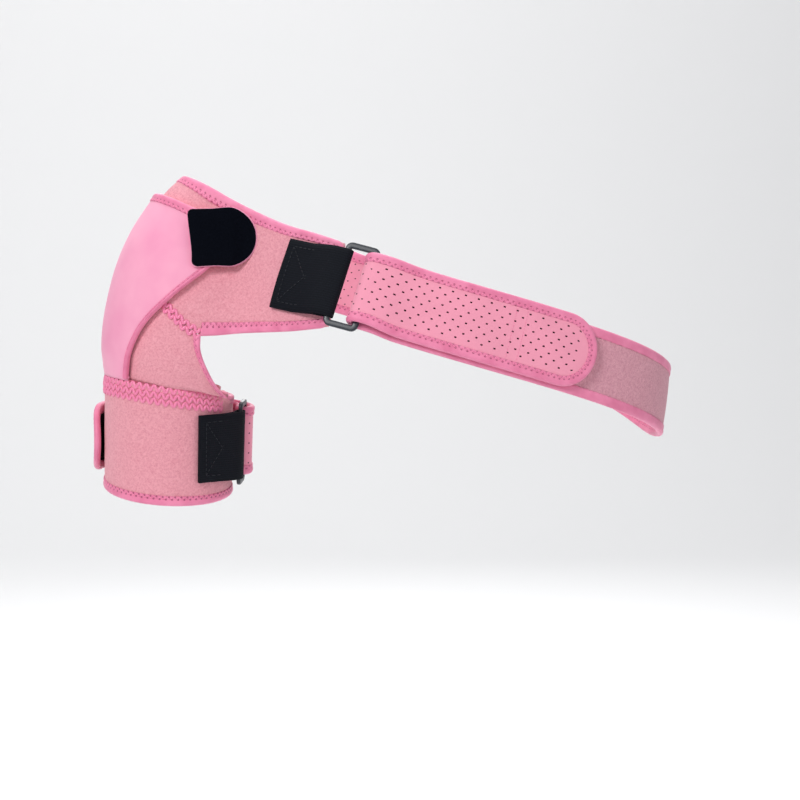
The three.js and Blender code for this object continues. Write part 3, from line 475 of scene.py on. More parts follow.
def arm_spot(angle, drop, inset=0.0):
    """A place on the sleeve's form, at an angle round the arm and a length down it"""
    angle, drop, inset = np.broadcast_arrays(*map(np.asarray, (angle, drop, inset)))
    n = np.stack([np.cos(angle), np.sin(angle), np.zeros(angle.shape)], axis=-1)
    n = unit(n - (n @ ARM_AXIS)[..., None] * ARM_AXIS)
    p = ARM_PIVOT - drop[..., None] * ARM_AXIS + n * (ARM_RADIUS - inset)[..., None]
    return p, n


def sleeve_top(angle):
    return -SLEEVE_RISE + SLEEVE_SLANT * np.cos(angle) + SLEEVE_FRONT_RISE * np.sin(angle)


def sleeve_bottom(angle):
    return SLEEVE_LENGTH - SLEEVE_RISE + HEM_SLANT * np.cos(angle)


def both_halves(half, share, v):
    front = half(1)(np.clip(share, 0, 1), v)
    back = half(-1)(np.clip(2 - share, 0, 1), v)
    return np.where((share <= 1)[..., None], front, back)


def shoulder_half(side):
    neck, lower, seam = (guide_curve(t, side) for t in (NECK_EDGE, LOWER_EDGE, CAP_SEAM))

    def top(u):
        past = NECK_CORNER_SHARE + (1 - NECK_CORNER_SHARE) * (u - CORNER_SHARE) / (1 - CORNER_SHARE)
        return neck.at(np.where(u < CORNER_SHARE, u / CORNER_SHARE * NECK_CORNER_SHARE, past))

    def bottom(u):
        on_lower = lower.at(np.clip(u / CORNER_SHARE, 0, 1))
        on_seam = seam.at(np.clip((u - CORNER_SHARE) / (1 - CORNER_SHARE), 0, 1))
        return np.where((u < CORNER_SHARE)[..., None], on_lower, on_seam)

    first, last = np.zeros(1), np.ones(1)
    start = straight(top(first), bottom(first))
    return patch(top, bottom, start, straight(top(last), bottom(last)))


SEAM_DRAW_IN = 0.994


def shoulder_place(share, v):
    return settle(worn_form, both_halves(shoulder_half, share, v * SEAM_DRAW_IN))


def sewn_place(form, half, seam, edge):
    """A panel on a form whose lowest strip runs down to the seam on the sleeve"""
    def place(share, v):
        p, n = settle(form, both_halves(half, share, v))
        low, _ = settle(form, both_halves(half, share, np.ones_like(v)))
        seam_p, seam_n = seam(share)
        pull = np.clip((v - 1 + edge) / edge, 0, 1)[..., None]
        return p + (seam_p - low) * pull, unit(n + (seam_n - n) * pull)
    return place


def seam_angle(share, opening):
    """The angle round the arm, from the front end of a seam over the outside to the back"""
    return -opening + (share / 2) * (2 * opening - 2 * math.pi)


def cap_seam_place(share):
    angle = seam_angle(share, ARMPIT_HALF_ANGLE)
    inset = SEAM_INSET * np.maximum(-np.cos(angle), 0)
    return arm_spot(angle, sleeve_top(angle) - SLEEVE_SEAM_GAP, inset)


def flap_seam_place(share):
    angle = seam_angle(share, FLAP_SEAM_ANGLE)
    return arm_spot(angle, sleeve_top(angle) - SLEEVE_SEAM_GAP, SEAM_INSET)


def sewn_half(top_table, front_table, seam, power):
    def half(side):
        edge, front = guide_curve(top_table, side), guide_curve(front_table, side)

        def bottom(u):
            return seam(u if side > 0 else 2 - u)[0]

        corner = bottom(np.zeros(1))
        last = np.ones(1)

        def start(v):
            return mix(front.at(v), corner, v ** power)

        return patch(edge.at, bottom, start, straight(edge.at(last), bottom(last)))
    return half


CAP_PANEL_DROP, FLAP_DROP, SHOULDER_BAND = 60.0, 135.0, 72.0
cap_place = sewn_place(
    shoulder_form, sewn_half(CAP_SEAM, ARMHOLE_EDGE, cap_seam_place, 2),
    cap_seam_place, TAPE_WIDTH / CAP_PANEL_DROP,
)
flap_place = sewn_place(
    worn_form, sewn_half(FLAP_TOP_EDGE, FLAP_FRONT_EDGE, flap_seam_place, 4),
    flap_seam_place, TAPE_WIDTH / FLAP_DROP,
)


def flap_lift(v):
    return PANEL_WALL + mix(FLAP_EDGE_LIFT, FLAP_LIFT, smooth_step(v, 0, FLAP_RISE_SHARE))


def sleeve_place(share, v):
    """The sleeve goes all the way round: its share runs from 0 to 1"""
    angle = share * 2 * math.pi
    return arm_spot(angle, mix(sleeve_top(angle), sleeve_bottom(angle), v))


for title, place in (("shoulder", shoulder_place), ("cap", cap_place), ("flap", flap_place)):
    corner = place(np.zeros(1), np.zeros(1))[0][0]
    print(title, "panel starts at, mm:", np.round(corner, 1))

# %% [markdown]
# ## Grids that become cloth
#
# One helper makes nearly every mesh here. It starts from a flat grid, asks a function where
# each of its points belongs, and writes a second, flat place for each point into a UV map,
# in metres. A weave drawn on that map keeps its size wherever the cloth bends. A grid that
# closes on itself is welded, and open tube ends are filled.

# %% Grid helpers
WELD = 1e-7


def lattice(rows, cols, place, welded=False, capped=False):
    bm = bmesh.new()
    bmesh.ops.create_grid(bm, x_segments=rows, y_segments=cols, size=1.0)
    flat = np.array([vert.co[:] for vert in bm.verts])
    i = np.rint((flat[:, 0] + 1) / 2 * rows).astype(int)
    j = np.rint((flat[:, 1] + 1) / 2 * cols).astype(int)
    points, chart = place(i, j)
    layer = bm.loops.layers.uv.new("cloth")
    for vert, point in zip(bm.verts, points * MM):
        vert.co = point
    bm.verts.index_update()
    for face in bm.faces:
        for loop in face.loops:
            loop[layer].uv = chart[loop.vert.index]
    if welded:
        bmesh.ops.remove_doubles(bm, verts=bm.verts[:], dist=WELD)
        if capped:
            rims = [edge for edge in bm.edges if edge.is_boundary]
            bmesh.ops.holes_fill(bm, edges=rims, sides=0)
        bmesh.ops.recalc_face_normals(bm, faces=bm.faces[:])
    return bm


def to_piece(bm, name, materials):
    mesh = bpy.data.meshes.new(name)
    bm.to_mesh(mesh)
    bm.free()
    for material in materials:
        mesh.materials.append(material)
    mesh.shade_smooth()
    piece = bpy.data.objects.new(name, mesh)
    bpy.context.collection.objects.link(piece)
    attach(piece, "root")
    return piece


def run_lengths(points):
    """Length along a row of points, starting from 0"""
    steps = np.linalg.norm(np.diff(points, axis=0), axis=-1)
    return np.concatenate([[0], np.cumsum(steps)])


def ripple(x, y, size):
    """Slow, shallow unevenness of soft cloth, for places in millimetres"""
    wave = np.sin(x / 17 + 1.3 * np.sin(y / 23)) + np.sin(y / 13 - 0.8 * np.sin(x / 29) + 2.1)
    return size * (wave + 0.6 * np.sin((x + y) / 7.3 + np.sin(x / 11))) / 2.6


print("helpers ready")

# %% [markdown]
# ## Finishes
#
# Every finish is drawn by nodes. Cloth that has a flat chart is drawn on that chart, so its
# holes and ribs follow the cloth. Pile and plastic are drawn on object coordinates. A small
# helper makes a node, sets its plain values and joins what is given as a socket.

# %% Node helpers


def add_node(tree, kind, inputs=None, **settings):
    node = tree.nodes.new(kind)
    for key, value in settings.items():
        setattr(node, key, value)
    for key, value in (inputs or {}).items():
        if isinstance(value, bpy.types.NodeSocket):
            tree.links.new(value, node.inputs[key])
        else:
            node.inputs[key].default_value = value
    return node


def sums(tree, operation, *values):
    inputs = dict(enumerate(values))
    return add_node(tree, "ShaderNodeMath", inputs, operation=operation).outputs[0]


def ramp(tree, factor, stops):
    node = add_node(tree, "ShaderNodeValToRGB", {"Fac": factor})
    marks = node.color_ramp.elements
    while len(marks) < len(stops):
        marks.new(1.0)
    for mark, (position, shade) in zip(marks, stops):
        mark.position = position
        mark.color = shade
    return node.outputs["Color"]


def noise(tree, place, scale, detail=2.0, roughness=0.5):
    inputs = {"Vector": place, "Scale": scale, "Detail": detail, "Roughness": roughness}
    return add_node(tree, "ShaderNodeTexNoise", inputs).outputs[0]


def grain(name, roughness, sheen=0.0, specular=0.35):
    """A new finish with its shader, and the two charts that its pattern may read"""
    finish = bpy.data.materials.new(name)
    finish.use_nodes = True
    tree = finish.node_tree
    shader = tree.nodes["Principled BSDF"]
    shader.inputs["Roughness"].default_value = roughness
    shader.inputs["Specular IOR Level"].default_value = specular
    if sheen:
        shader.inputs["Sheen Weight"].default_value = sheen
        shader.inputs["Sheen Roughness"].default_value = 0.5
    solid = add_node(tree, "ShaderNodeTexCoord").outputs["Object"]
    chart = add_node(tree, "ShaderNodeUVMap", uv_map="cloth").outputs["UV"]
    return finish, tree, shader, solid, chart


def raise_grain(tree, shader, height, strength, depth):
    inputs = {"Height": height, "Strength": strength, "Distance": depth}
    bump = add_node(tree, "ShaderNodeBump", inputs)
    tree.links.new(bump.outputs["Normal"], shader.inputs["Normal"])


def tint(tree, shader, place, dark, light, scale):
    """Uneven dye: a slow noise between two shades"""
    shade = ramp(tree, noise(tree, place, scale, 3.0), [(0.3, dark), (0.7, light)])
    tree.links.new(shade, shader.inputs["Base Color"])
    return shade


print("node helpers ready")

# %% [markdown]
# The outside of the foam is a brushed fleece: dull, with a fine broken pile and faint
# mottling. The flap is a smooth knit with hardly any relief. Tape is a tight elastic rib,
# and the needle pulls a pit into it at each stitch, darkened with painted shade.

# %% Cloth finishes
HOLE_PITCH, HOLE_ROW = 9.6, 3.8
HOLE_RADIUS = 0.55
LINING_SHADE = 0.93
STITCH_PITCH, TAPE_RIB = 4.4, 0.75
PIT_NEAR, PIT_FAR = -4.2, -5.8


def fleece(name, dark, light):
    finish, tree, shader, solid, _ = grain(name, 0.92, sheen=0.25, specular=0.15)
    pile = noise(tree, solid, 1300.0, 4.0, 0.65)
    clumps = noise(tree, solid, 620.0, 3.0, 0.6)
    mottle = sums(tree, "MULTIPLY_ADD", pile, 0.45, sums(tree, "MULTIPLY", clumps, 0.55))
    shade = ramp(tree, mottle, [(0.32, dark), (0.6, light)])
    tree.links.new(shade, shader.inputs["Base Color"])
    raise_grain(tree, shader, sums(tree, "ADD", pile, clumps), 0.75, 0.0007)
    return finish


def smooth_knit(name, dark, light):
    finish, tree, shader, solid, _ = grain(name, 0.72, sheen=0.2, specular=0.25)
    tint(tree, shader, solid, dark, light, 22.0)
    fine = noise(tree, solid, 2600.0, 2.0)
    slow = noise(tree, solid, 70.0, 2.0)
    raise_grain(tree, shader, sums(tree, "MULTIPLY_ADD", fine, 0.35, slow), 0.35, 0.0005)
    return finish


def lining(name, base, hole_shade, dotted):
    """The inside of the foam: a smooth cloth with staggered rows of punched air holes, each drawn as a
    dark dot of painted shade
    """
    finish, tree, shader, solid, chart = grain(name, 0.7, sheen=0.15, specular=0.3)
    fine = noise(tree, solid, 2200.0, 2.0)
    raise_grain(tree, shader, fine, 0.25, 0.0003)
    darker = tuple(LINING_SHADE * part for part in base)
    shade = ramp(tree, noise(tree, solid, 30.0), [(0.3, base), (0.7, darker)])
    if not dotted:
        tree.links.new(shade, shader.inputs["Base Color"])
        return finish
    # Painted shade: each punched hole is drawn as a flat dark dot in the lining's colour.
    axes = add_node(tree, "ShaderNodeSeparateXYZ", {"Vector": chart}).outputs
    row = sums(tree, "FLOOR", sums(tree, "DIVIDE", axes["Y"], HOLE_ROW * MM))
    shift = sums(tree, "MULTIPLY", sums(tree, "FLOORED_MODULO", row, 2.0), HOLE_PITCH * MM / 2)
    along = sums(tree, "FLOORED_MODULO", sums(tree, "ADD", axes["X"], shift), HOLE_PITCH * MM)
    across = sums(tree, "FLOORED_MODULO", axes["Y"], HOLE_ROW * MM)
    along = sums(tree, "SUBTRACT", along, HOLE_PITCH * MM / 2)
    across = sums(tree, "SUBTRACT", across, HOLE_ROW * MM / 2)
    squares = sums(tree, "MULTIPLY_ADD", along, along, sums(tree, "MULTIPLY", across, across))
    near = sums(tree, "LESS_THAN", squares, (HOLE_RADIUS * MM) ** 2)
    both = add_node(tree, "ShaderNodeMix", {0: near, 6: shade, 7: hole_shade}, data_type="RGBA")
    tree.links.new(both.outputs[2], shader.inputs["Base Color"])
    return finish


def tape_rib(name, dark, light, pit_shade):
    """Elastic tape: ribs across its length, and two staggered rows of needle pits, darkened with
    painted shade
    """
    finish, tree, shader, solid, chart = grain(name, 0.5, sheen=0.15, specular=0.45)
    axes = add_node(tree, "ShaderNodeSeparateXYZ", {"Vector": chart}).outputs
    shade = ramp(tree, noise(tree, solid, 90.0, 2.0), [(0.3, dark), (0.7, light)])
    # Painted shade: the colour is darkened towards the pit colour at each needle pit.
    for reach, start in ((PIT_NEAR, 0.0), (PIT_FAR, 0.5)):
        turn = sums(tree, "MULTIPLY_ADD", axes["X"], 1 / (STITCH_PITCH * MM), 0.5 + start)
        along = sums(tree, "SUBTRACT", sums(tree, "FRACT", turn), 0.5)
        along = sums(tree, "MULTIPLY", along, STITCH_PITCH)
        across = sums(tree, "MULTIPLY_ADD", axes["Y"], 1 / MM, -reach)
        squares = sums(tree, "MULTIPLY_ADD", along, along, sums(tree, "MULTIPLY", across, across))
        near = add_node(tree, "ShaderNodeMapRange", {0: squares, 1: 0.15, 2: 1.0, 3: 0.9, 4: 0.0})
        mixed = add_node(
            tree, "ShaderNodeMix", {0: near.outputs[0], 6: shade, 7: pit_shade}, data_type="RGBA",
        )
        shade = mixed.outputs[2]
    tree.links.new(shade, shader.inputs["Base Color"])
    wave = sums(tree, "SINE", sums(tree, "MULTIPLY", axes["X"], 2 * math.pi / (TAPE_RIB * MM)))
    fine = noise(tree, solid, 1800.0, 2.0)
    raise_grain(tree, shader, sums(tree, "MULTIPLY_ADD", wave, 0.25, fine), 0.35, 0.0002)
    return finish


FLEECE = fleece("fleece_pile", colour(218, 134, 148), colour(243, 170, 182))
FLEECE_STRAP = fleece("fleece_pile_strap", colour(196, 128, 144), colour(226, 166, 180))
SMOOTH = smooth_knit("smooth_knit", colour(238, 150, 184), colour(248, 172, 198))
LINING_PLAIN = lining("lining_punched", colour(246, 158, 182), colour(70, 30, 38), False)
# The dark dots of this lining are painted shade in its punched holes.
LINING = lining("lining_dotted", colour(246, 158, 182), colour(70, 30, 38), True)
# The third colour is the painted shade in the needle pits.
TAPE = tape_rib("tape_rib", colour(226, 118, 156), colour(242, 140, 176), colour(158, 62, 96))
print("cloth finishes:", FLEECE.name, SMOOTH.name, LINING.name, TAPE.name)

# %% [markdown]
# Thread is shinier than cloth. The webbing is a black ribbed weave, the fastening tab and
# patches are a dense black nap, and the rings are moulded dark plastic.

# %% Thread, webbing and plastic


def plain_grain(name, dark, light, roughness, scale, depth, specular=0.4):
    finish, tree, shader, solid, _ = grain(name, roughness, specular=specular)
    fine = noise(tree, solid, scale, 3.0, 0.6)
    tree.links.new(ramp(tree, fine, [(0.3, dark), (0.7, light)]), shader.inputs["Base Color"])
    raise_grain(tree, shader, fine, 0.5, depth)
    return finish


RIB_ACROSS, RIB_ALONG, RIB_SHARE = 1.7, 1.1, 0.8


def webbing_rib(name, dark, light):
    finish, tree, shader, solid, chart = grain(name, 0.75, specular=0.16)
    axes = add_node(tree, "ShaderNodeSeparateXYZ", {"Vector": chart}).outputs
    lengthwise = sums(tree, "SINE", sums(tree, "MULTIPLY", axes["Y"], 2 * math.pi / (RIB_ACROSS * MM)))
    crosswise = sums(tree, "SINE", sums(tree, "MULTIPLY", axes["X"], 2 * math.pi / (RIB_ALONG * MM)))
    ribs = sums(tree, "MULTIPLY", lengthwise, RIB_SHARE)
    weave = sums(tree, "MULTIPLY_ADD", lengthwise, crosswise, ribs)
    height = sums(tree, "MULTIPLY_ADD", weave, 0.25, 0.5)
    # Painted shade: the colour follows the rib height, darker in the grooves and lighter on the crests.
    tree.links.new(ramp(tree, height, [(0.1, dark), (0.9, light)]), shader.inputs["Base Color"])
    raise_grain(tree, shader, height, 0.7, 0.0004)
    return finish


THREAD = plain_grain(
    "thread", colour(232, 112, 156), colour(250, 150, 186), 0.36, 1500.0, 0.0002, 0.6,
)
BLACK_NAP = plain_grain(
    "black_nap", colour(1, 2, 6), colour(12, 15, 24), 0.95, 1900.0, 0.0004, 0.04,
)
BLACK_THREAD = plain_grain(
    "black_thread", colour(10, 13, 20), colour(30, 34, 44), 0.5, 1500.0, 0.0002,
)
PLASTIC = plain_grain(
    "moulded_plastic", colour(30, 36, 44), colour(46, 52, 60), 0.36, 700.0, 0.00006, 0.5,
)
WEBBING = webbing_rib("webbing_rib", colour(2, 4, 9), colour(17, 21, 31))
print("hard finishes:", THREAD.name, WEBBING.name, PLASTIC.name)

# %% [markdown]
# ## The foam panels
#
# A panel is one grid on the form with its cloth chart, thickened inwards by a Solidify
# modifier whose inner side takes the punched lining. The chart is measured on the cloth
# itself, so the pattern keeps its size. A slow ripple keeps the foam from looking moulded.

# %% Foam panels
RIPPLE = 0.22


def chart_of(points, rows, cols):
    """Flat places in metres: length along the middle column, and along the middle row"""
    net = points.reshape(cols + 1, rows + 1, 3)
    along = run_lengths(net[cols // 2])
    across = run_lengths(net[:, rows // 2])
    return along * MM, across * MM


def cloth_grid(place, shares, rows, cols, lift, size=RIPPLE):
    """The outer face of a panel as a lattice, with the panel's measured length and width"""
    def points_at(i, j):
        share, v = shares[0] + (shares[1] - shares[0]) * i / rows, j / cols
        p, n = place(share, v)
        uneven = ripple(p[..., 0] + p[..., 1], p[..., 2] + p[..., 1], size)
        return p + n * (lift(share, v) + uneven)[..., None]

    jj, ii = np.mgrid[0:cols + 1, 0:rows + 1]
    net = points_at(ii.ravel(), jj.ravel())
    along, across = chart_of(net, rows, cols)

    def spot(i, j):
        chart = np.stack([along[i], across[j]], axis=1)
        return net[j * (rows + 1) + i], chart

    return spot, along[-1], across[-1]


def panel(name, place, shares, rows, cols, lift, wall, outside, round_trip=False):
    spot, long, wide = cloth_grid(place, shares, rows, cols, lift)
    bm = lattice(rows, cols, spot)
    if round_trip:
        bmesh.ops.remove_doubles(bm, verts=bm.verts[:], dist=WELD)
    centre = np.array([face.calc_center_median() for face in bm.faces])
    bm.normal_update()
    normals = np.array([face.normal for face in bm.faces])
    slopes = slope_of(worn_form, centre / MM)
    if (normals * slopes).sum() < 0:
        bmesh.ops.reverse_faces(bm, faces=bm.faces[:])
    area = sum(face.calc_area() for face in bm.faces)
    piece = to_piece(bm, name, [outside, LINING])
    solid = piece.modifiers.new("foam", "SOLIDIFY")
    solid.thickness = wall * MM
    solid.offset = -1
    solid.material_offset = 1
    print(name, "length", round(long, 3), "width", round(wide, 3), "area", round(area, 4))
    return piece, (wide, long), area


def flat_lift(height):
    return lambda share, v: np.full(np.shape(share), height)


SLEEVE_WRINKLES = [(-0.62, 5.0, 1.0), (-0.72, 11.0, 0.8), (-0.5, 3.0, 0.7), (-0.56, 17.0, 0.45)]
WRINKLE_LONG, WRINKLE_WIDE, WRINKLE_SLOPE = 0.22, 2.6, 7


def sleeve_lift(share, v):
    """The sleeve puckers where it meets the armpit, in front and behind"""
    angle = (share * 2 * math.pi + math.pi) % (2 * math.pi) - math.pi
    drop = v * SLEEVE_LENGTH
    lift = np.full(np.shape(share), PANEL_WALL)
    for turn, down, size in SLEEVE_WRINKLES:
        for side in (1, -1):
            past = angle - side * turn
            level = drop - down - WRINKLE_SLOPE * past
            fold = np.exp(-(past / WRINKLE_LONG) ** 2 - (level / WRINKLE_WIDE) ** 2)
            lift = lift + size * fold
    return lift


shoulder, shoulder_flat, shoulder_area = panel(
    "shoulder_panel_cloth", shoulder_place, (0, 2), 170, 28,
    flat_lift(PANEL_WALL), PANEL_WALL, FLEECE,
)
cap, cap_flat, cap_area = panel(
    "cap_panel_cloth", cap_place, (0, 2), 110, 26,
    flat_lift(PANEL_WALL), PANEL_WALL, FLEECE,
)
sleeve, sleeve_flat, sleeve_area = panel(
    "arm_sleeve_cloth", sleeve_place, (0, 1), 130, 34,
    sleeve_lift, PANEL_WALL, FLEECE, True,
)
flap, flap_flat, flap_area = panel(
    "shoulder_flap_cloth", flap_place, (0, 2), 130, 48,
    lambda share, v: flap_lift(v) + FLAP_WALL, FLAP_WALL, SMOOTH,
)
for piece, node, name in (
    (shoulder, "shoulder_panel", "fleece"), (cap, "cap_panel", "fleece"),
    (sleeve, "arm_sleeve", "fleece"), (flap, "shoulder_flap", "smooth_cloth"),
):
    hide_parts(node)

# %% [markdown]
# ## Binding tape
#
# Tape is folded over a cut edge and sewn down with a zigzag. Its section is a roll round
# the edge with a thin leg on each side. The section is drawn once as a short table and
# swept along the edge. Each needle pit pulls the leg down and its rim in, which gives the
# scalloped look. Small grains of thread lie from pit to pit.

# %% The tape's section and sweep
# The upper half of the tape's section: out past the cloth's edge, and rise over its face
TAPE_SECTION = [
    (-6.5, 0.2),
    (-6.3, 0.62),
    (-5.6, 0.8),
    (-4.9, 0.76),
    (-4.2, 0.6),
    (-3.6, 0.7),
    (-2.8, 0.92),
    (-1.9, 1.05),
    (-1.0, 1.0),
    (-0.25, 0.72),
    (0.35, 0.2),
    (0.75, -0.5),
    (0.95, -1.1),
]
TAPE_INSIDE = (0.28, 0.06)
PIT_DEPTH, SCALLOP = 0.8, 0.75
PIT_WIDE, PIT_WIDE_FAR = 0.6, 0.7
ROLL_WAVE, ROLL_FROM = 0.05, -3
THREAD_RISE = 0.62
THREAD_RADIUS = 0.36


def even_path(edge, leg, spacing, closed):
    """Edge and leg points at even steps along the edge, and the steps' lengths"""
    columns = np.concatenate([edge[0], edge[1], leg[0], leg[1]], axis=1)
    if closed:
        columns = np.vstack([columns, columns[:1]])
    at = run_lengths(columns[:, :3])
    count = max(int(round(at[-1] / spacing)), 2)
    if closed:
        pitches = round(at[-1] / STITCH_PITCH)
        count = pitches * max(int(round(STITCH_PITCH / spacing)), 2)
    steps = np.linspace(0, at[-1], count + 1)
    out = np.stack([np.interp(steps, at, column) for column in columns.T], axis=1)
    return out[:, :3], unit(out[:, 3:6]), out[:, 6:9], unit(out[:, 9:12]), steps


def on_tape(path, i, out, height):
    """A point at a length along the edge, out from it, and up from the cloth's middle"""
    edge, edge_n, leg, leg_n, _ = path
    share = np.clip(-out / TAPE_WIDTH, 0, 1)[..., None]
    away = unit(edge - leg)[i] * np.maximum(out, 0)[..., None]
    n = unit(edge_n[i] + (leg_n[i] - edge_n[i]) * share)
    return edge[i] + (leg[i] - edge[i]) * share + away + n * height[..., None], n


def bind(name, edge, leg, half, spacing=0.75, closed=False):
    path = even_path(edge, leg, spacing, closed)
    steps = path[-1]
    upper = [(out, half + rise, 1.0) for out, rise in TAPE_SECTION]
    lower = [(out, -(half + rise), 0.0) for out, rise in TAPE_SECTION[::-1][1::2]]
    tip, gap = -TAPE_WIDTH, half + TAPE_INSIDE[1]
    fold = TAPE_INSIDE[0]
    inside = [(tip, -gap, 0.0), (fold, -gap, 0.0), (fold, gap, 0.0), (tip, gap, 0.0)]
    section = np.array(upper + lower + inside + upper[:1])
    rows, cols = len(steps) - 1, len(section) - 1
    pitch = steps[-1] / round(steps[-1] / STITCH_PITCH) if closed else STITCH_PITCH

    def spot(i, j):
        out, height, sewn = section[j].T
        turn = 2 * math.pi * steps[i] / pitch
        near = np.maximum(np.cos(turn), 0) ** 4 * np.exp(-((out - PIT_NEAR) / PIT_WIDE) ** 2)
        far = np.maximum(-np.cos(turn), 0) ** 4 * np.exp(-((out - PIT_FAR) / PIT_WIDE_FAR) ** 2)
        over = np.abs(height) - half
        dip = PIT_DEPTH * (near + far) * over
        height = height - np.sign(height) * dip * (over > 0.1)
        rim = (np.maximum(-np.cos(turn), 0) ** 2) * SCALLOP * (out < -6) * (over > 0.1)
        roll = ROLL_WAVE * np.cos(turn) * (out > ROLL_FROM) * sewn
        point, _ = on_tape(path, i, out + rim, height + roll)
        chart = np.stack([steps[i] * MM, np.where(sewn > 0, out, 1.0) * MM], axis=1)
        return point, chart

    bm = lattice(rows, cols, spot, welded=True, capped=not closed)
    piece = to_piece(bm, name, [TAPE])
    count = int(steps[-1] / pitch * 2) - 1
    turns = np.arange(count + 1) * pitch / 2
    station = np.clip(np.rint(turns / steps[1]).astype(int), 0, rows)
    out = np.where(np.arange(count + 1) % 2 == 0, PIT_NEAR, PIT_FAR)
    place, n = on_tape(path, station, out, np.full(out.shape, half + THREAD_RISE))
    stitches = thread_piece(
        name + "_stitches", place[:-1], place[1:], n[:-1], THREAD_RADIUS, THREAD,
    )
    return piece, stitches


print("tape section points:", 2 * len(TAPE_SECTION))

# %% [markdown]
# A stitch shows as a short grain of thread. All the grains of a seam are one piece: a small
# ball with few faces, drawn once, then stretched between the two ends of each grain.

# %% Thread
GRAIN_OVERLAP = 0.4


def thread_piece(name, start, end, up, radius, finish, segments=(6, 4), flat=0.8):
    """Grains of thread between pairs of points: one small ball, stretched and repeated"""
    bm = bmesh.new()
    bmesh.ops.create_uvsphere(bm, u_segments=segments[0], v_segments=segments[1], radius=1.0)
    ball = np.array([vert.co[:] for vert in bm.verts])
    faces = [[vert.index for vert in face.verts] for face in bm.faces]
    bm.free()
    along = unit(end - start)
    side = unit(np.cross(up, along))
    rise = np.cross(along, side)
    half = np.linalg.norm(end - start, axis=1) / 2 + radius * GRAIN_OVERLAP
    places = (
        ((start + end) / 2)[:, None]
        + along[:, None] * (ball[None, :, 2:3] * half[:, None, None])
        + side[:, None] * ball[None, :, 0:1] * radius
        + rise[:, None] * ball[None, :, 1:2] * radius * flat
    )
    mesh = bpy.data.meshes.new(name)
    every = [[v + k * len(ball) for v in face] for k in range(len(start)) for face in faces]
    mesh.from_pydata((places.reshape(-1, 3) * MM).tolist(), [], every)
    mesh.materials.append(finish)
    mesh.shade_smooth()
    piece = bpy.data.objects.new(name, mesh)
    bpy.context.collection.objects.link(piece)
    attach(piece, "root")
    return piece


print("thread overlap, share of its radius:", GRAIN_OVERLAP)

# %% [markdown]
# The tape on a panel follows its edge as a path of shares, with rounded corners, and a
# second path one tape width further in carries the legs. The shoulder panel's tape runs
# from the front seam corner round both ends and the neck to the back seam corner.

# %% Tape on the panels
SHOULDER_END_RUN, FLAP_END_RUN, CAP_END_RUN = 192.0, 144.0, 120.0


def corner_path(corners, radii, count=7):
    """A path of shares through corners, each rounded by a quarter turn"""
    path = [corners[0]]
    for before, corner, after, radius in zip(corners, corners[1:], corners[2:], radii):
        corner, radius = np.array(corner), np.array(radius)
        back = np.sign(np.array(before) - corner) * radius
        ahead = np.sign(np.array(after) - corner) * radius
        for k in range(count):
            turn = math.pi / 2 * k / (count - 1)
            path.append(tuple(corner + back * (1 - math.sin(turn)) + ahead * (1 - math.cos(turn))))
    path.append(corners[-1])
    return np.array(path)


def filled(path, spans):
    """The straight runs of a path, split into even parts"""
    parts = [path[:1]]
    for a, b, count in zip(path, path[1:], spans):
        parts.append(a + (b - a) * (np.arange(1, count + 1) / count)[:, None])
    return np.vstack(parts)


def edge_pair(place, outer, inner, radius, inner_radius, runs, lift, wall):
    """Edge and leg points for a taped edge that turns its corners"""
    pairs = []
    for corners, round_by in ((outer, radius), (inner, inner_radius)):
        rounds = [round_by] * (len(corners) - 2)
        path = corner_path(corners, rounds)
        spans = []
        for k in range(len(corners) - 1):
            spans += [runs[k]] + ([1] * 6 if k < len(corners) - 2 else [])
        path = filled(path, spans)
        p, n = place(path[:, 0], path[:, 1])
        pairs.append((p + n * (lift(path[:, 1]) + wall / 2)[:, None], n))
    return pairs


def no_lift(v):
    return np.zeros(np.shape(v))


end_share, row_share = TAPE_WIDTH / SHOULDER_END_RUN, TAPE_WIDTH / SHOULDER_BAND
corner_low, corner_high = CORNER_SHARE, 2 - CORNER_SHARE
shoulder_edge, shoulder_leg = edge_pair(
    shoulder_place,
    [(corner_low, 1), (0, 1), (0, 0), (2, 0), (2, 1), (corner_high, 1)],
    [
        (corner_low, 1 - row_share), (end_share, 1 - row_share), (end_share, row_share),
        (2 - end_share, row_share), (2 - end_share, 1 - row_share), (corner_high, 1 - row_share),
    ],
    (0.035, 0.09), (0.003, 0.008), [60, 14, 150, 14, 60], no_lift, PANEL_WALL,
)
shoulder_tape, shoulder_stitches = bind("panel_tape", shoulder_edge, shoulder_leg, PANEL_WALL / 2)

flap_end, flap_row = TAPE_WIDTH / FLAP_END_RUN, TAPE_WIDTH / FLAP_DROP
FLAP_TAPE_LOW = 0.965
flap_edge, flap_leg = edge_pair(
    flap_place,
    [(0, FLAP_TAPE_LOW), (0, 0), (2, 0), (2, FLAP_TAPE_LOW)],
    [
        (flap_end, FLAP_TAPE_LOW), (flap_end, flap_row),
        (2 - flap_end, flap_row), (2 - flap_end, FLAP_TAPE_LOW),
    ],
    (0.05, 0.05), (0.004, 0.004), [70, 120, 70], flap_lift, FLAP_WALL,
)
flap_tape, flap_stitches = bind("flap_tape", flap_edge, flap_leg, FLAP_WALL / 2)
print("panel tape, mm:", round(run_lengths(shoulder_edge[0])[-1]))


def straight_tape(name, place, edge_at, leg_at, wall, closed=False):
    pair = []
    for share, v in (edge_at, leg_at):
        p, n = place(share, v)
        pair.append((p + n * wall / 2, n))
    return bind(name, pair[0], pair[1], wall / 2, closed=closed)


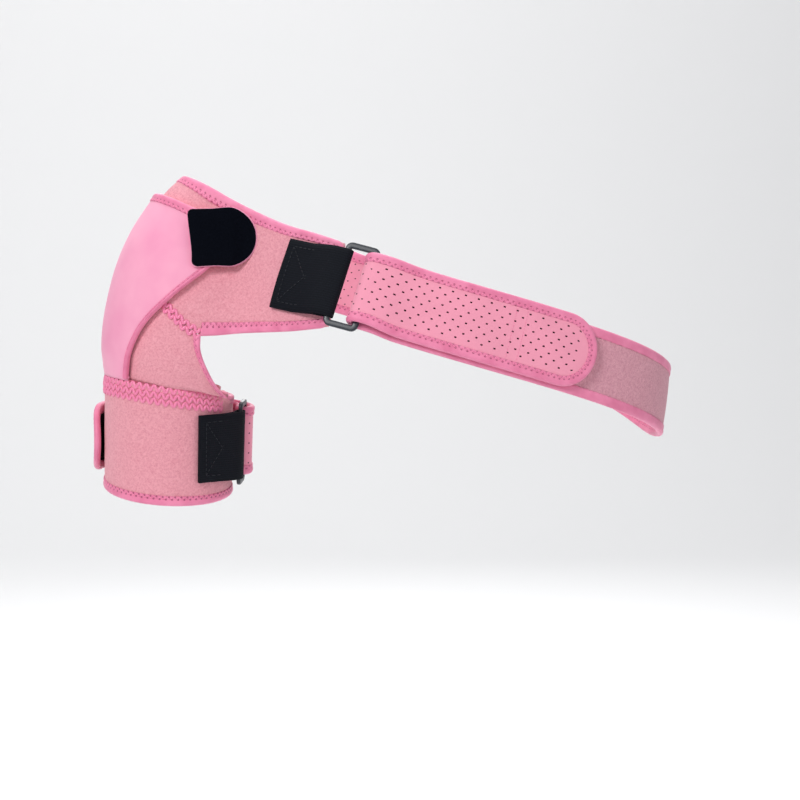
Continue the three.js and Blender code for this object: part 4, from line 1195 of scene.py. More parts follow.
ARMHOLE_TAPE_LOW, ARMPIT_TAPE_SHARE = 0.9, 0.8
down = np.linspace(0.0, ARMHOLE_TAPE_LOW, 40)
cap_end = TAPE_WIDTH / CAP_END_RUN
armhole_tapes = []
for word, edge, leg in (("front", 0, cap_end), ("back", 2, 2 - cap_end)):
    armhole_tapes.append(straight_tape(
        "armhole_tape_" + word, cap_place, (0 * down + edge, down), (0 * down + leg, down), PANEL_WALL,
    ))
turn = np.linspace(0, 1, 240, endpoint=False)
sleeve_row = TAPE_WIDTH / SLEEVE_LENGTH
hem_tape, hem_stitches = straight_tape(
    "hem_tape", sleeve_place, (turn, 0 * turn + 1), (turn, 0 * turn + 1 - sleeve_row),
    PANEL_WALL, True,
)
armpit = np.linspace(-ARMPIT_HALF_ANGLE, ARMPIT_HALF_ANGLE, 60) / (2 * math.pi) * ARMPIT_TAPE_SHARE
armpit_tape, armpit_stitches = straight_tape(
    "armpit_tape", sleeve_place, (armpit, 0 * armpit), (armpit, 0 * armpit + sleeve_row),
    PANEL_WALL,
)
for piece, node in (
    (shoulder_tape, "panel_binding"), (flap_tape, "flap_binding"),
    (armhole_tapes[0][0], "armhole_binding_front"), (armhole_tapes[1][0], "armhole_binding_back"),
    (hem_tape, "hem_binding"), (armpit_tape, "armpit_binding"),
):
    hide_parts(node)

# %% [markdown]
# ## Flat seams
#
# The panels are joined by wide flat seams of thick, shiny thread that looks knitted. Each
# row is a chain of V stitches, and each V is two fat grains. The sleeve seam has three
# rows, and the seam between the two foam panels has two.

# %% Flat seams
SEAM_PITCH, SEAM_THREAD = 5.7, 1.3
SEAM_GRAIN, SEAM_FLAT = (8, 6), 0.6
SEAM_RISE, SEAM_SINK = 0.5, 1.5
SLEEVE_ROWS = [(-1.6, 3.2), (3.2, 8.0), (8.0, 12.8)]
PANEL_ROWS = [(-4.4, 0.0), (0.0, 4.4)]


def flat_seam(name, spot, length, rows, pitch=SEAM_PITCH, radius=SEAM_THREAD):
    starts, ends, ups = [], [], []
    for high, low in rows:
        at = np.arange(0, length - pitch / 2, pitch)
        for first, second in ((0.06, 0.47), (0.94, 0.53)):
            a, n = spot(at + first * pitch, np.full(at.shape, high))
            b, _ = spot(at + second * pitch, np.full(at.shape, low))
            starts.append(a)
            ends.append(b)
            ups.append(n)
    return thread_piece(
        name, np.vstack(starts), np.vstack(ends), np.vstack(ups), radius, THREAD, SEAM_GRAIN, SEAM_FLAT,
    )


SEAM_RADIUS = ARM_RADIUS + PANEL_WALL
seam_turn = 2 * math.pi - 2 * ARMPIT_HALF_ANGLE


def sleeve_seam_spot(x, d):
    angle = -ARMPIT_HALF_ANGLE - x / SEAM_RADIUS
    p, n = arm_spot(angle, sleeve_top(angle) + d)
    sunk = SEAM_SINK * np.clip(-d / 2, 0, 1)
    return p + n * (PANEL_WALL + SEAM_RISE - sunk)[..., None], n


sleeve_seam = flat_seam("sleeve_seam_stitches", sleeve_seam_spot, seam_turn * SEAM_RADIUS, SLEEVE_ROWS)


def panel_seam_spots(side):
    share = np.linspace(CORNER_SHARE, 1, 120)
    share = share if side > 0 else 2 - share
    p, n = shoulder_place(share, np.ones(share.shape))
    q, _ = shoulder_place(share, np.full(share.shape, 0.9))
    across, at = unit(q - p), run_lengths(p)

    def spot(x, d):
        here, out, aside = (
            np.stack([np.interp(x, at, column) for column in table.T], axis=1)
            for table in (p, n, across)
        )
        return here + unit(out) * (PANEL_WALL + 0.4) - unit(aside) * d[..., None], unit(out)
    return spot, at[-1]


for side, word in ((1, "front"), (-1, "back")):
    seam_spot, seam_length = panel_seam_spots(side)
    flat_seam("panel_seam_stitches_" + word, seam_spot, seam_length, PANEL_ROWS)
grain_faces = SEAM_GRAIN[0] * SEAM_GRAIN[1]
print("sleeve seam grains:", len(sleeve_seam.data.polygons) // grain_faces)

# %% [markdown]
# ## Straps, webbing and rings
#
# Both straps work alike. A piece of black webbing passes one bar of a plastic ring and is
# sewn back onto itself. The strap comes from behind, passes the other bar and folds back
# over itself. Seen from its edge, each band is a line of lengths along its route and
# heights over the body. That line is drawn once, stepped evenly, and given its width.

# %% The routes of the two bands
STRAP_WIDTH, WEBBING_WIDTH, WEBBING_WALL, HOOK_WALL = 50.5, 51.0, 1.3, 1.1
LAYER_GAP, RING_CLEAR = 0.5, 0.7
RING_LENGTH, RING_WIDTH, RING_BAR, RING_THICKNESS, RING_CORNER = 63.5, 26.0, 4.6, 3.2, 4.0
TIP_DEPTH, TIP_REACH, FOLD_SETTLE = 22.0, 24.2, 46.0
FLAT_END, FLAT_FADE = 15.0, 40.0
CHEST_RING_ACROSS, CHEST_RING_DROP, STRAP_DROP, WEBBING_SLOPE = 125.5, 62.3, 102.0, 0.205
ARM_BAND_DROP, ARM_BAND_LEVEL, ARM_RING_ANGLE = 37.0, 4.5, math.radians(-13)
ARM_STRAP_LENGTH, STRAP_OVERLAP = 104.0, 38.0
ROUTE_FROM, ROUTE_TO, ROUTE_STEPS = math.radians(-150), math.radians(152), 150
RUN_IN = 2.0


class ArmRoute:
    end = ARM_STRAP_LENGTH

    def spot(self, along, across):
        angle = ARM_RING_ANGLE + along / SEAM_RADIUS
        return arm_spot(angle, ARM_BAND_DROP + ARM_BAND_LEVEL * np.sin(angle) - across)


def strap_height(across):
    """The strap's middle line falls from the ring to the far side and climbs again behind"""
    def turn(x):
        return np.arccos(np.clip((x - CHEST_ACROSS) / CHEST_HALF_WIDTH, -1, 1))
    before = CHEST_RING_ACROSS - across
    fall = 1 - turn(across) / turn(CHEST_RING_ACROSS)
    return np.where(before > 0, WEBBING_SLOPE * before, -STRAP_DROP * fall) - CHEST_RING_DROP


class ChestRoute:
    def __init__(self):
        turn = np.linspace(ROUTE_FROM, ROUTE_TO, ROUTE_STEPS + 1)
        p = np.stack([
            CHEST_ACROSS + CHEST_HALF_WIDTH * np.cos(turn),
            -CHEST_FRONT + CHEST_HALF_DEPTH * np.sin(turn),
            np.zeros(turn.shape),
        ], axis=1)
        for _ in range(3):
            p[:, 2] = strap_height(p[:, 0])
            for _ in range(12):
                slope = slope_of(worn_form, p) * np.array([1.0, 1.0, 0.0])
                p = p - SETTLE_FACTOR * worn_form(p)[:, None] * slope / (slope ** 2).sum(1)[:, None]
        self.line = EvenCurve(p, 1200)
        share = np.linspace(0, 1, 2001)
        x = self.line.at(share)[:, 0]
        front = share[(share <= 0.4) & (x > CHEST_RING_ACROSS)][0]
        back = share[(share >= 0.5) & (x < CHEST_RING_ACROSS)][0]
        self.ring = front * self.line.length
        self.back = back * self.line.length - self.ring
        self.end = self.back + STRAP_OVERLAP

    def spot(self, along, across):
        share = np.clip((self.ring + along) / self.line.length, 0, 1)
        centre = self.line.at(share)
        n = unit(slope_of(worn_form, centre))
        tangent = unit(self.line.at(share + 1e-4) - self.line.at(share - 1e-4))
        up = unit(np.cross(n, tangent))
        up = np.where(up[..., 2:3] < 0, -up, up)
        return settle(worn_form, centre + up * np.asarray(across)[..., None])


class Band:
    """A route with the flat frame of its ring, where bands lie straight"""

    def __init__(self, route, webbing_base, strap_base):
        self.route = route
        zero = np.zeros(1)
        self.centre, self.n = (x[0] for x in route.spot(zero, zero))
        tangent = self.centre - route.spot(zero - RUN_IN, zero)[0][0]
        self.tangent = unit(tangent - tangent @ self.n * self.n)
        self.aside = unit(np.cross(self.n, self.tangent))
        self.strap_clear = RING_CLEAR + TAPE_REACH + STRAP_WALL / 2
        self.webbing_clear = RING_CLEAR + WEBBING_WALL / 2
        strap_rise = strap_base + STRAP_WALL / 2 + self.strap_clear
        webbing_rise = webbing_base + WEBBING_WALL / 2 + self.webbing_clear
        self.height = max(strap_rise, webbing_rise) + RING_THICKNESS / 2
        self.reach = (RING_WIDTH - RING_BAR) / 2

    def place(self, along, across, height):
        p, n = self.route.spot(along, across)
        flat = (
            self.centre + self.n * height[..., None]
            + self.tangent * along[..., None] + self.aside * across[..., None]
        )
        away = smooth_step(np.abs(along), FLAT_END, FLAT_FADE)[..., None]
        return flat + (p + n * height[..., None] - flat) * away


chest_route = ChestRoute()
chest = Band(chest_route, PANEL_WALL + LAYER_GAP, TAPE_REACH + LAYER_GAP)
arm = Band(ArmRoute(), PANEL_WALL + LAYER_GAP, PANEL_WALL + TAPE_REACH + LAYER_GAP)
print("chest strap ends at, mm:", round(chest_route.end), "ring at", np.round(chest.centre))

# %% Band profiles


def half_turn(bar, height, sign, reach, rise, count=12):
    """Round a ring bar from below it to above it"""
    angle = np.linspace(-math.pi / 2, math.pi / 2, count)
    return np.stack([bar - sign * reach * np.cos(angle), height + rise * np.sin(angle)], axis=1)


def even_profile(points, shifts, step):
    """A profile at even steps: along, height, sideways shift, and its direction"""
    table = np.column_stack([points, shifts])
    at = run_lengths(points)
    steps = np.linspace(0, at[-1], int(round(at[-1] / step)) + 1)
    table = np.stack([np.interp(steps, at, column) for column in table.T], axis=1)
    run = unit(np.gradient(table[:, :2], axis=0))
    return table, run, steps


def strap_profile(band, base, fold_length, shift, lift, drop, step):
    far, height, clear = band.reach, band.height, band.strap_clear
    turn = half_turn(far, height, 1, RING_BAR / 2 + clear, RING_THICKNESS / 2 + clear)
    crest = turn[-1, 1]

    def under(along):
        return base + STRAP_WALL / 2 + lift(along)

    def over(along):
        settled = smooth_step(along - far, 0, FOLD_SETTLE)
        rest = STRAP_WALL + 2 * TAPE_REACH + LAYER_GAP
        return mix(crest, under(along) + rest - drop(along), settled)

    low = np.linspace(band.route.end, far + RUN_IN, 300)
    settled = smooth_step(low - far, 0, FOLD_SETTLE / 2)
    low = np.column_stack([low, mix(turn[0, 1], under(low), settled)])
    high = np.linspace(far, fold_length - TIP_DEPTH + TIP_REACH, 120)[1:]
    high = np.column_stack([high, over(high)])
    points = np.vstack([low, turn, high])
    shifts = np.concatenate([
        np.full(len(low), -shift), np.linspace(-shift, shift, len(turn)), np.full(len(high), shift),
    ])
    table, run, steps = even_profile(points, shifts, step)
    fold = run_lengths(points)[len(low) + len(turn) - 1]
    return table, run, steps, fold, over


def band_point(band, profile, length, across, offset):
    """A place on a band: a length along its profile, across it, and out from its middle"""
    table, run, steps = profile[:3]
    along, height, shift, run_a, run_h = (
        np.interp(length, steps, column) for column in (*table.T, *run.T)
    )
    return band.place(along - run_h * offset, across + shift, height + run_a * offset)


print("ring heights over the form, mm:", round(chest.height, 1), round(arm.height, 1))

# %% [markdown]
# A strap is a closed grid: its section runs over the lined face, round one edge, under the
# fleece face and back. The grid's cells match the punched holes of the lining, so each hole
# is one cell, inset twice and pushed in. The tip is round. Its tape runs up one edge, round
# the tip and back along the other.

# %% Straps
STRAP_SPANS, STRAP_UNDER_SPANS = 26, 10
STRAP_EDGE_INSET = 0.7
HOLE_INSET, HOLE_WALL, HOLE_DEPTH = 0.58, 0.06, 1.1
HOLE_EDGE_CELLS, HOLE_TIP_SHARE, HOLE_FROM_FOLD = 4, 0.6, 2
TIP_CLOSE = 1.02
# The walls and floors of the holes take a dark finish: painted shade, the shade inside each hole.
HOLE_SHADE_FINISH = plain_grain(
    "hole_painted_shade", colour(48, 20, 26), colour(84, 38, 46), 0.9, 900.0, 0.0001, 0.1,
)


def tip_half(left, half, reach):
    """Half the width of a round-tipped band, by the length that is left to its end"""
    gone = np.clip((reach - left) / reach, 0, 0.999)
    return half * np.sqrt(1 - gone ** 2)


def strap_cloth(name, band, profile):
    steps, fold = profile[2], profile[3]
    rows = len(steps) - 1
    half, reach = STRAP_WIDTH / 2 - STRAP_EDGE_INSET, TIP_REACH - STRAP_EDGE_INSET
    top = [(c, 1.0) for c in np.linspace(1, -1, STRAP_SPANS + 1)]
    under = [(c, -1.0) for c in np.linspace(-1, 1, STRAP_UNDER_SPANS + 1)]
    section = np.array(top + under + top[:1])

    def spot(i, j):
        share, side = section[j].T
        length = np.minimum(steps[i], steps[-1] - STRAP_EDGE_INSET * TIP_CLOSE)
        across = share * tip_half(steps[-1] - STRAP_EDGE_INSET - length, half, reach)
        place = band_point(band, profile, length, across, side * STRAP_WALL / 2)
        return place, np.stack([length * MM, across * MM], axis=1)

    bm = lattice(rows, len(section) - 1, spot)
    holes = []
    for face in bm.faces:
        cell = face.index
        row, col = cell % rows, cell // rows
        lined = col < STRAP_SPANS
        face.material_index = (0 if steps[row] > fold else 3) if lined else 1
        inside = HOLE_EDGE_CELLS <= col < STRAP_SPANS - HOLE_EDGE_CELLS
        tip = steps[-1] - steps[row] < TIP_REACH * HOLE_TIP_SHARE
        folded = steps[row] > fold + HOLE_FROM_FOLD
        if inside and folded and not tip and row % 2 == 0 and col % 2 == 0:
            if (row // 2 + col // 2) % 2 == 0:
                holes.append(face)
    bmesh.ops.remove_doubles(bm, verts=bm.verts[:], dist=WELD)
    rims = [edge for edge in bm.edges if edge.is_boundary]
    bmesh.ops.holes_fill(bm, edges=rims, sides=0)
    bmesh.ops.recalc_face_normals(bm, faces=bm.faces[:])
    holes = [face for face in holes if face.is_valid]
    bmesh.ops.inset_individual(bm, faces=holes, thickness=HOLE_INSET * MM)
    walls = bmesh.ops.inset_individual(
        bm, faces=holes, thickness=HOLE_WALL * MM, depth=-HOLE_DEPTH * MM,
    )
    for face in holes + walls["faces"]:
        face.material_index = 2
    piece = to_piece(bm, name, [LINING_PLAIN, FLEECE_STRAP, HOLE_SHADE_FINISH, LINING])
    print(name, "holes:", len(holes), "length, mm:", round(steps[-1]))
    return piece


print("strap section points:", STRAP_SPANS + STRAP_UNDER_SPANS + 2)

# %% The tape of a strap


def outline(total, half, reach, count=44):
    """Up one side of a band, round its tip and down the other: lengths and widths"""
    straight_run = np.linspace(0, total - reach, int((total - reach) / 2))[:-1]
    turn = np.linspace(0, math.pi, count)
    length = np.concatenate([
        straight_run, total - reach + reach * np.sin(turn), straight_run[::-1],
    ])
    across = np.concatenate([
        np.full(len(straight_run), half), half * np.cos(turn), np.full(len(straight_run), -half),
    ])
    return length, across


def leg_like(length, across, other):
    """Leg points resampled so that there are as many as on the edge"""
    at, to = np.linspace(0, 1, len(length)), np.linspace(0, 1, len(other))
    return np.interp(to, at, length), np.interp(to, at, across)


def strap_tape(name, band, profile, spacing):
    pair = []
    straight_end = profile[2][-1] - TIP_REACH
    for inset in (0.0, TAPE_WIDTH):
        reach = TIP_REACH - inset
        length, across = outline(straight_end + reach, STRAP_WIDTH / 2 - inset, reach)
        if inset:
            length, across = leg_like(length, across, pair_length)
        pair_length = length
        low = band_point(band, profile, length, across, -STRAP_WALL / 2)
        high = band_point(band, profile, length, across, STRAP_WALL / 2)
        pair.append(((low + high) / 2, unit(high - low)))
    return bind(name, pair[0], pair[1], STRAP_WALL / 2, spacing)


print("tip of a strap, mm:", TIP_REACH)

# %% Both straps
STRAP_CELL = HOLE_PITCH / 4
CHEST_FOLD_LENGTH, ARM_FOLD_LENGTH, STRAP_SHIFT = 178.0, 168.0, 1.5
CHEST_LIFT = PANEL_WALL + 2 * TAPE_REACH + LAYER_GAP
ARM_TIP_DROP = 2.6
BACK_LIFT_START, BACK_LIFT_END = 26, 6
TIP_DROP_START, TIP_DROP_END = 4, 34


def chest_lift(along):
    """At the back the strap climbs onto the shoulder panel that it is sewn to"""
    back = chest_route.back
    return CHEST_LIFT * smooth_step(along, back - BACK_LIFT_START, back - BACK_LIFT_END)


def arm_drop(along):
    """The arm strap's tip comes down past the end of the layer below it"""
    start, end = ARM_STRAP_LENGTH + TIP_DROP_START, ARM_STRAP_LENGTH + TIP_DROP_END
    return ARM_TIP_DROP * smooth_step(along, start, end)


chest_profile = strap_profile(
    chest, TAPE_REACH + LAYER_GAP, CHEST_FOLD_LENGTH, STRAP_SHIFT,
    chest_lift, no_lift, STRAP_CELL,
)
arm_profile = strap_profile(
    arm, PANEL_WALL + TAPE_REACH + LAYER_GAP, ARM_FOLD_LENGTH, 0.0,
    no_lift, arm_drop, STRAP_CELL,
)
chest_strap = strap_cloth("chest_strap_cloth", chest, chest_profile)
arm_strap = strap_cloth("arm_strap_cloth", arm, arm_profile)
chest_tape, chest_stitches = strap_tape("chest_strap_tape", chest, chest_profile, 1.25)
arm_tape, arm_stitches = strap_tape("arm_strap_tape", arm, arm_profile, 1.0)
for piece, node in (
    (chest_strap, "chest_strap"), (chest_tape, "chest_strap_binding"),
    (arm_strap, "arm_strap"), (arm_tape, "arm_strap_binding"),
):
    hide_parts(node)

# %% [markdown]
# The patch inside the fold is sewn on from its back, so two rows of small stitches cross
# the lined face a little before the tip.

# %% The cross seam
CROSS_FROM_TIP, CROSS_HALF, CROSS_PITCH = (56.0, 64.0), 17.5, 2.4
CROSS_STITCH, CROSS_RISE, CROSS_THREAD = 0.62, 0.05, 0.2


def cross_seam(name, band, profile):
    """Two rows of small stitches across the folded end, where its patch is sewn on"""
    share = np.arange(-CROSS_HALF, CROSS_HALF, CROSS_PITCH)
    across = np.concatenate([share, share])
    length = profile[2][-1] - np.repeat(CROSS_FROM_TIP, len(share))
    face = STRAP_WALL / 2 + CROSS_RISE
    start = band_point(band, profile, length, across, face)
    end = band_point(band, profile, length, across + CROSS_PITCH * CROSS_STITCH, face)
    up = band_point(band, profile, length, across, face + 1) - start
    piece = thread_piece(name, start, end, unit(up), CROSS_THREAD, THREAD)
    return piece


chest_cross = cross_seam("chest_strap_cross_seam", chest, chest_profile)
print("cross seam rows at, mm from the tip:", CROSS_FROM_TIP)

# %% [markdown]
# The webbing has the same kind of profile: up from its sewn end, round the near bar and
# back over itself. The patch under the strap's tip is a thin strip of the same kind, so
# both are made by one helper that sweeps a thin section along a profile.

# %% Thin bands
CHEST_WEBBING_LENGTH, ARM_WEBBING_LENGTH = 56.0, 45.0
WEBBING_UNDER = np.array([0, 0.3, 0.6])
WEBBING_OVER = np.array([0.12, 0.26, 0.4, 0.55, 0.77, 1])
WEBBING_STEP, LINE_POINTS = 1.4, 160
EDGE_ROUND, CORNER_RUN = 1.012, 12


def smooth_line(points, count):
    return EvenCurve(np.column_stack([points, np.zeros(len(points))])).at(
        np.linspace(0, 1, count))[:, :2]


def webbing_profile(band, base, length):
    near, lower = -band.reach, base + WEBBING_WALL / 2
    upper = lower + WEBBING_WALL + LAYER_GAP
    span = near + length
    clear = band.webbing_clear
    turn = half_turn(near, band.height, -1, RING_BAR / 2 + clear, RING_THICKNESS / 2 + clear, 9)
    climb = mix(lower, turn[0, 1], smooth_step(WEBBING_UNDER, 0.2, 1))
    under = np.column_stack([-length + WEBBING_UNDER * span, climb])
    fall = mix(turn[-1, 1], upper, smooth_step(WEBBING_OVER, 0.1, 0.6))
    over = np.column_stack([near - WEBBING_OVER * span, fall])
    points = smooth_line(np.vstack([under, turn, over]), LINE_POINTS)
    return even_profile(points, np.zeros(len(points)), WEBBING_STEP), upper


def band_strip(name, band, profile, half, wall, finish, node, spans=12, edge=0.0):
    """A thin closed band of even thickness, with its corners a little drawn in"""
    steps = profile[2]
    rows = len(steps) - 1
    top = [(c, 1.0) for c in np.linspace(1, -1, spans + 1)]
    under = [(c, -1.0) for c in np.linspace(-1, 1, spans + 1)]
    section = np.array(top + [(-EDGE_ROUND, 0.0)] + under + [(EDGE_ROUND, 0.0)] + top[:1])

    def spot(i, j):
        share, side = section[j].T
        wide = half - edge * np.clip(1 - (steps[-1] - steps[i]) / CORNER_RUN, 0, 1) ** 2
        place = band_point(band, profile, steps[i], share * wide, side * wall / 2)
        return place, np.stack([steps[i] * MM, share * half * MM], axis=1)

    bm = lattice(rows, len(section) - 1, spot, welded=True, capped=True)
    piece = to_piece(bm, name, [finish])
    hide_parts(node)
    return piece


print("webbing profile shares:", WEBBING_UNDER, WEBBING_OVER)

# %% [markdown]
# Webbing is sewn down with a box of stitches that has a cross in it. The box is a walk from
# corner to corner, cut into short stitches with a small gap after each.

# %% The sewn box
BOX_INSET, BOX_PITCH, BOX_FROM_BAR = 5.0, 3.2, 9.0
BOX_START, BOX_STOP, BOX_RISE, BOX_THREAD = 0.12, 0.8, 0.12, 0.32


def box_stitches(name, band, height, length):
    """A sewn box with a cross in it, on the webbing's upper layer"""
    low, high = -length + BOX_INSET, -band.reach - BOX_FROM_BAR
    side = WEBBING_WIDTH / 2 - BOX_INSET
    corners = [(low, -side), (high, -side), (high, side), (low, side), (low, -side), (high, side)]
    corners += [(high, -side), (low, side)]
    starts, ends = [], []
    for k, (a, b) in enumerate(zip(corners, corners[1:])):
        if k == 5:
            continue
        a, b = np.array(a), np.array(b)
        count = int(np.linalg.norm(b - a) / BOX_PITCH)
        share = np.arange(count)[:, None] / count
        starts.append(a + (b - a) * (share + BOX_START / count))
        ends.append(a + (b - a) * (share + BOX_STOP / count))
    a, b = np.vstack(starts), np.vstack(ends)
    level_at = np.full(len(a), height + WEBBING_WALL / 2 + BOX_RISE)
    first = band.place(a[:, 0], a[:, 1], level_at)
    second = band.place(b[:, 0], b[:, 1], level_at)
    n = unit(band.place(a[:, 0], a[:, 1], level_at + 1) - first)
    piece = thread_piece(name, first, second, n, BOX_THREAD, BLACK_THREAD)
    return piece


print("box stitch, mm:", BOX_PITCH)

# %% [markdown]
# A ring is moulded plastic: a softly squared bar that runs round a rectangle with round
# corners. The bar's section is a superellipse, a circle pressed towards a square.

# %% The rings
RING_SQUARENESS, RING_TURN = 0.55, 1.2


def ring_piece(name, band, node):
    wide, long = (RING_WIDTH - RING_BAR) / 2, (RING_LENGTH - RING_BAR) / 2
    corner, path = RING_CORNER - RING_BAR / 2 + RING_TURN, []
    for k, (x, y) in enumerate(((1, -1), (1, 1), (-1, 1), (-1, -1))):
        for step in range(9):
            angle = math.radians(-90 + 90 * k + 90 * step / 8)
            middle = np.array([x * (wide - corner), y * (long - corner)])
            out = np.array([math.cos(angle), math.sin(angle)])
            path.append(np.concatenate([middle + corner * out, out]))
    path = np.array(path + path[:1])
    angle = np.linspace(0, 2 * math.pi, 25)
    power = RING_SQUARENESS
    reach = RING_BAR / 2 * np.sign(np.cos(angle)) * np.abs(np.cos(angle)) ** power
    rise = RING_THICKNESS / 2 * np.sign(np.sin(angle)) * np.abs(np.sin(angle)) ** power

    def spot(i, j):
        x, y, out_x, out_y = path[i].T
        x, y = x + out_x * reach[j], y + out_y * reach[j]
        height = band.height + rise[j]
        place = (
            band.centre + band.tangent * x[:, None] + band.aside * y[:, None]
            + band.n * height[:, None]
        )
        return place, np.stack([x * MM, y * MM], axis=1)

    bm = lattice(len(path) - 1, len(angle) - 1, spot, welded=True)
    piece = to_piece(bm, name, [PLASTIC])
    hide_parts(node)
    return piece


print("ring, mm:", RING_LENGTH, "by", RING_WIDTH)

# %% Webbing and patches
HOOK_LENGTH, HOOK_INSET, HOOK_STEP, HOOK_CORNER = 44.0, 0.8, 1.8, 6.0
webbings, hooks = [], []
for word, band, profile, length, shift in (
    ("chest", chest, chest_profile, CHEST_WEBBING_LENGTH, STRAP_SHIFT),
    ("arm", arm, arm_profile, ARM_WEBBING_LENGTH, 0.0),
):
    web_profile, upper = webbing_profile(band, PANEL_WALL + LAYER_GAP, length)
    webbing = band_strip(
        word + "_webbing_weave", band, web_profile, WEBBING_WIDTH / 2, WEBBING_WALL, WEBBING,
        word + "_webbing",
    )
    stitches = box_stitches(word + "_webbing_stitches", band, upper, length)
    webbings.append((webbing, stitches, web_profile[2][-1]))
    ring_piece(word + "_ring_loop", band, word + "_ring")
    fold_length = CHEST_FOLD_LENGTH if word == "chest" else ARM_FOLD_LENGTH
    hook_end = fold_length - TAPE_WIDTH - LAYER_GAP
    hook_at = np.linspace(hook_end - HOOK_LENGTH, hook_end, 24)
    below = STRAP_WALL / 2 + LAYER_GAP + HOOK_WALL / 2
    hook_line = np.column_stack([hook_at, profile[4](hook_at) - below])
    hook_profile = even_profile(hook_line, np.zeros(len(hook_line)), HOOK_STEP)
    hook_half = STRAP_WIDTH / 2 - TAPE_WIDTH - shift - HOOK_INSET
    hook = band_strip(
        word + "_hook_patch", band, hook_profile, hook_half, HOOK_WALL, BLACK_NAP,
        word + "_hook", spans=8, edge=HOOK_CORNER,
    )
    hooks.append((hook, 2 * hook_half))
print("webbing, mm:", [round(w[2]) for w in webbings])

# %% [markdown]
# ## The fastening tab
#
# A black D of dense nap: straight at its outer end, where it is sewn under the flap's
# corner, and round at the other. A thin pale lip of the cloth that it is sewn to shows
# along its edge. Each row is found by walking over the form from the middle of the tab.

# %% The tab's outline
TAB_PLACE = np.array([0.305, 0.47, 0.285])
TAB_LENGTH, TAB_HEIGHT, TAB_WALL, TAB_SLOPE, TAB_GAP, TAB_FALL = 51.0, 44.0, 1.6, 0.03, 1.1, 0.6
TAB_CORNER = 4.0
TAB_COLS, TAB_ROWS = 52, 30


def walk(form, p, n, towards, length, steps=8):
    for _ in range(steps):
        way = unit(towards - (n @ towards)[..., None] * n)
        p, n = settle(form, p + way * (length / steps)[..., None], 10)
    return p, n


def tab_half(along):
    """Half the height of the D at a length from its straight end"""
    radius = TAB_HEIGHT / 2
    round_part = np.clip((along - (TAB_LENGTH - radius)) / radius, 0, 0.9995)
    corner = np.clip((TAB_CORNER - along) / TAB_CORNER, 0, 1)
    return radius * np.sqrt(1 - round_part ** 2) - TAB_CORNER * (1 - np.sqrt(1 - corner ** 2))


print("half the tab's height where it is sewn, mm:", tab_half(np.array([TAB_CORNER])))

# %% The tab's sheet
TAB_SEWN_SHARE, TAB_ROUND_SHARE = 0.1, 0.42


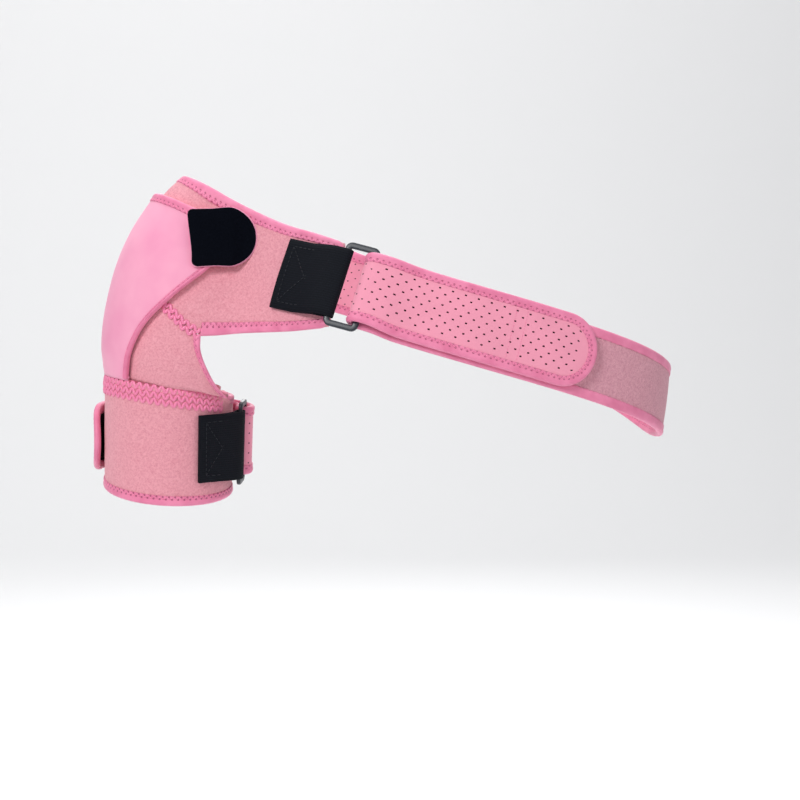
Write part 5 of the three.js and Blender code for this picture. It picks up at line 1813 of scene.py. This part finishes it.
def tab_sheet(name, grow, low, wall, finish):
    share = np.concatenate([
        np.linspace(0, 1, 9)[:-1] ** 2 * TAB_SEWN_SHARE,
        np.linspace(TAB_SEWN_SHARE, 1 - TAB_ROUND_SHARE, 18)[:-1],
        1 - TAB_ROUND_SHARE * (1 - np.sin(np.linspace(0, math.pi / 2, TAB_COLS - 24))),
    ])
    cols = len(share) - 1
    middle_guide = TAB_PLACE * [PANEL_REACH, PANEL_FORWARD, PANEL_DROP]
    guide = np.array([[middle_guide[0], -middle_guide[1], -middle_guide[2]]])
    p, n = settle(worn_form, guide)
    along = share * TAB_LENGTH
    p, n = (np.repeat(x, cols + 1, axis=0) for x in (p, n))
    reach = along - TAB_LENGTH / 2 + grow * (2 * share - 1)
    p, n = walk(worn_form, p, n, np.array([1, 0, TAB_SLOPE]), reach)
    v = np.linspace(-1, 1, TAB_ROWS + 1)
    half = tab_half(along) + grow
    p, n = (np.repeat(x[:, None], TAB_ROWS + 1, axis=1) for x in (p, n))
    up = np.array([0.0, 0.0, 1.0])
    p, n = walk(worn_form, p, n, up, -half[:, None] * v[None, :])
    base = low(share)[:, None, None]

    def spot(i, j):
        chart = np.stack([along[i] * MM, half[i] * v[j] * MM], axis=1)
        return (p + n * base)[i, j], chart

    bm = lattice(cols, TAB_ROWS, spot)
    bm.normal_update()
    facing = sum(face.normal.y for face in bm.faces)
    if facing > 0:
        bmesh.ops.reverse_faces(bm, faces=bm.faces[:])
    bm.normal_update()
    bmesh.ops.solidify(bm, geom=bm.faces[:], thickness=wall * MM)
    bmesh.ops.recalc_face_normals(bm, faces=bm.faces[:])
    area = sum(face.calc_area() for face in bm.faces) / 2
    piece = to_piece(bm, name, [finish])
    return piece, area


print("tab grid:", TAB_COLS, "by", TAB_ROWS)

# %% The tab
TAB_HIGH = PANEL_WALL + FLAP_LIFT + FLAP_WALL + TAPE_REACH + TAB_GAP
TAB_LOW = PANEL_WALL + LAYER_GAP
LIP_WALL, LIP_GROW = 0.5, 0.5


def tab_rise(share):
    return mix(TAB_HIGH, TAB_LOW, smooth_step(share, TAB_FALL, 1))


tab, tab_area = tab_sheet(
    "flap_tab_nap", 0.0, lambda s: tab_rise(s) + TAB_WALL, TAB_WALL - 0.1, BLACK_NAP,
)
lip, _ = tab_sheet(
    "flap_tab_lip", LIP_GROW, lambda s: tab_rise(s) - 0.05, LIP_WALL, SMOOTH,
)
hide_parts("flap_tab")
print("tab area, square centimetres:", round(tab_area * 1e4, 1))

# %% [markdown]
# ## The cut sizes of the soft pieces
#
# The lengths of the straps and the sizes of the webbing and the patches are worked out
# here, and nothing more is done with them. The panels' sizes are those measured above
# on their outer faces.

# %% Cut sizes


for piece, band_profile, tape_pieces, under in (
    (chest_strap, chest_profile, (chest_tape, chest_stitches, chest_cross), "shoulder_panel_cloth"),
    (arm_strap, arm_profile, (arm_tape, arm_stitches), "arm_sleeve_cloth"),
):
    length = band_profile[2][-1] * MM
for (piece, stitches, length), under in zip(webbings, ("shoulder_panel_cloth", "arm_sleeve_cloth")):
    size = (WEBBING_WIDTH * MM, length * MM)
for (piece, wide), under in zip(hooks, ("chest_strap_cloth", "arm_strap_cloth")):
    size = (wide * MM, HOOK_LENGTH * MM)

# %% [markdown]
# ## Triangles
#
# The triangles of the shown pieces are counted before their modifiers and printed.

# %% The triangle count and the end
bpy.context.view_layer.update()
triangles = 0
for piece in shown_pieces():
    if not piece.hide_render and piece.type == "MESH" and not piece.get("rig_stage"):
        triangles += sum(len(face.vertices) - 2 for face in piece.data.polygons)
print("triangles before modifiers:", triangles)
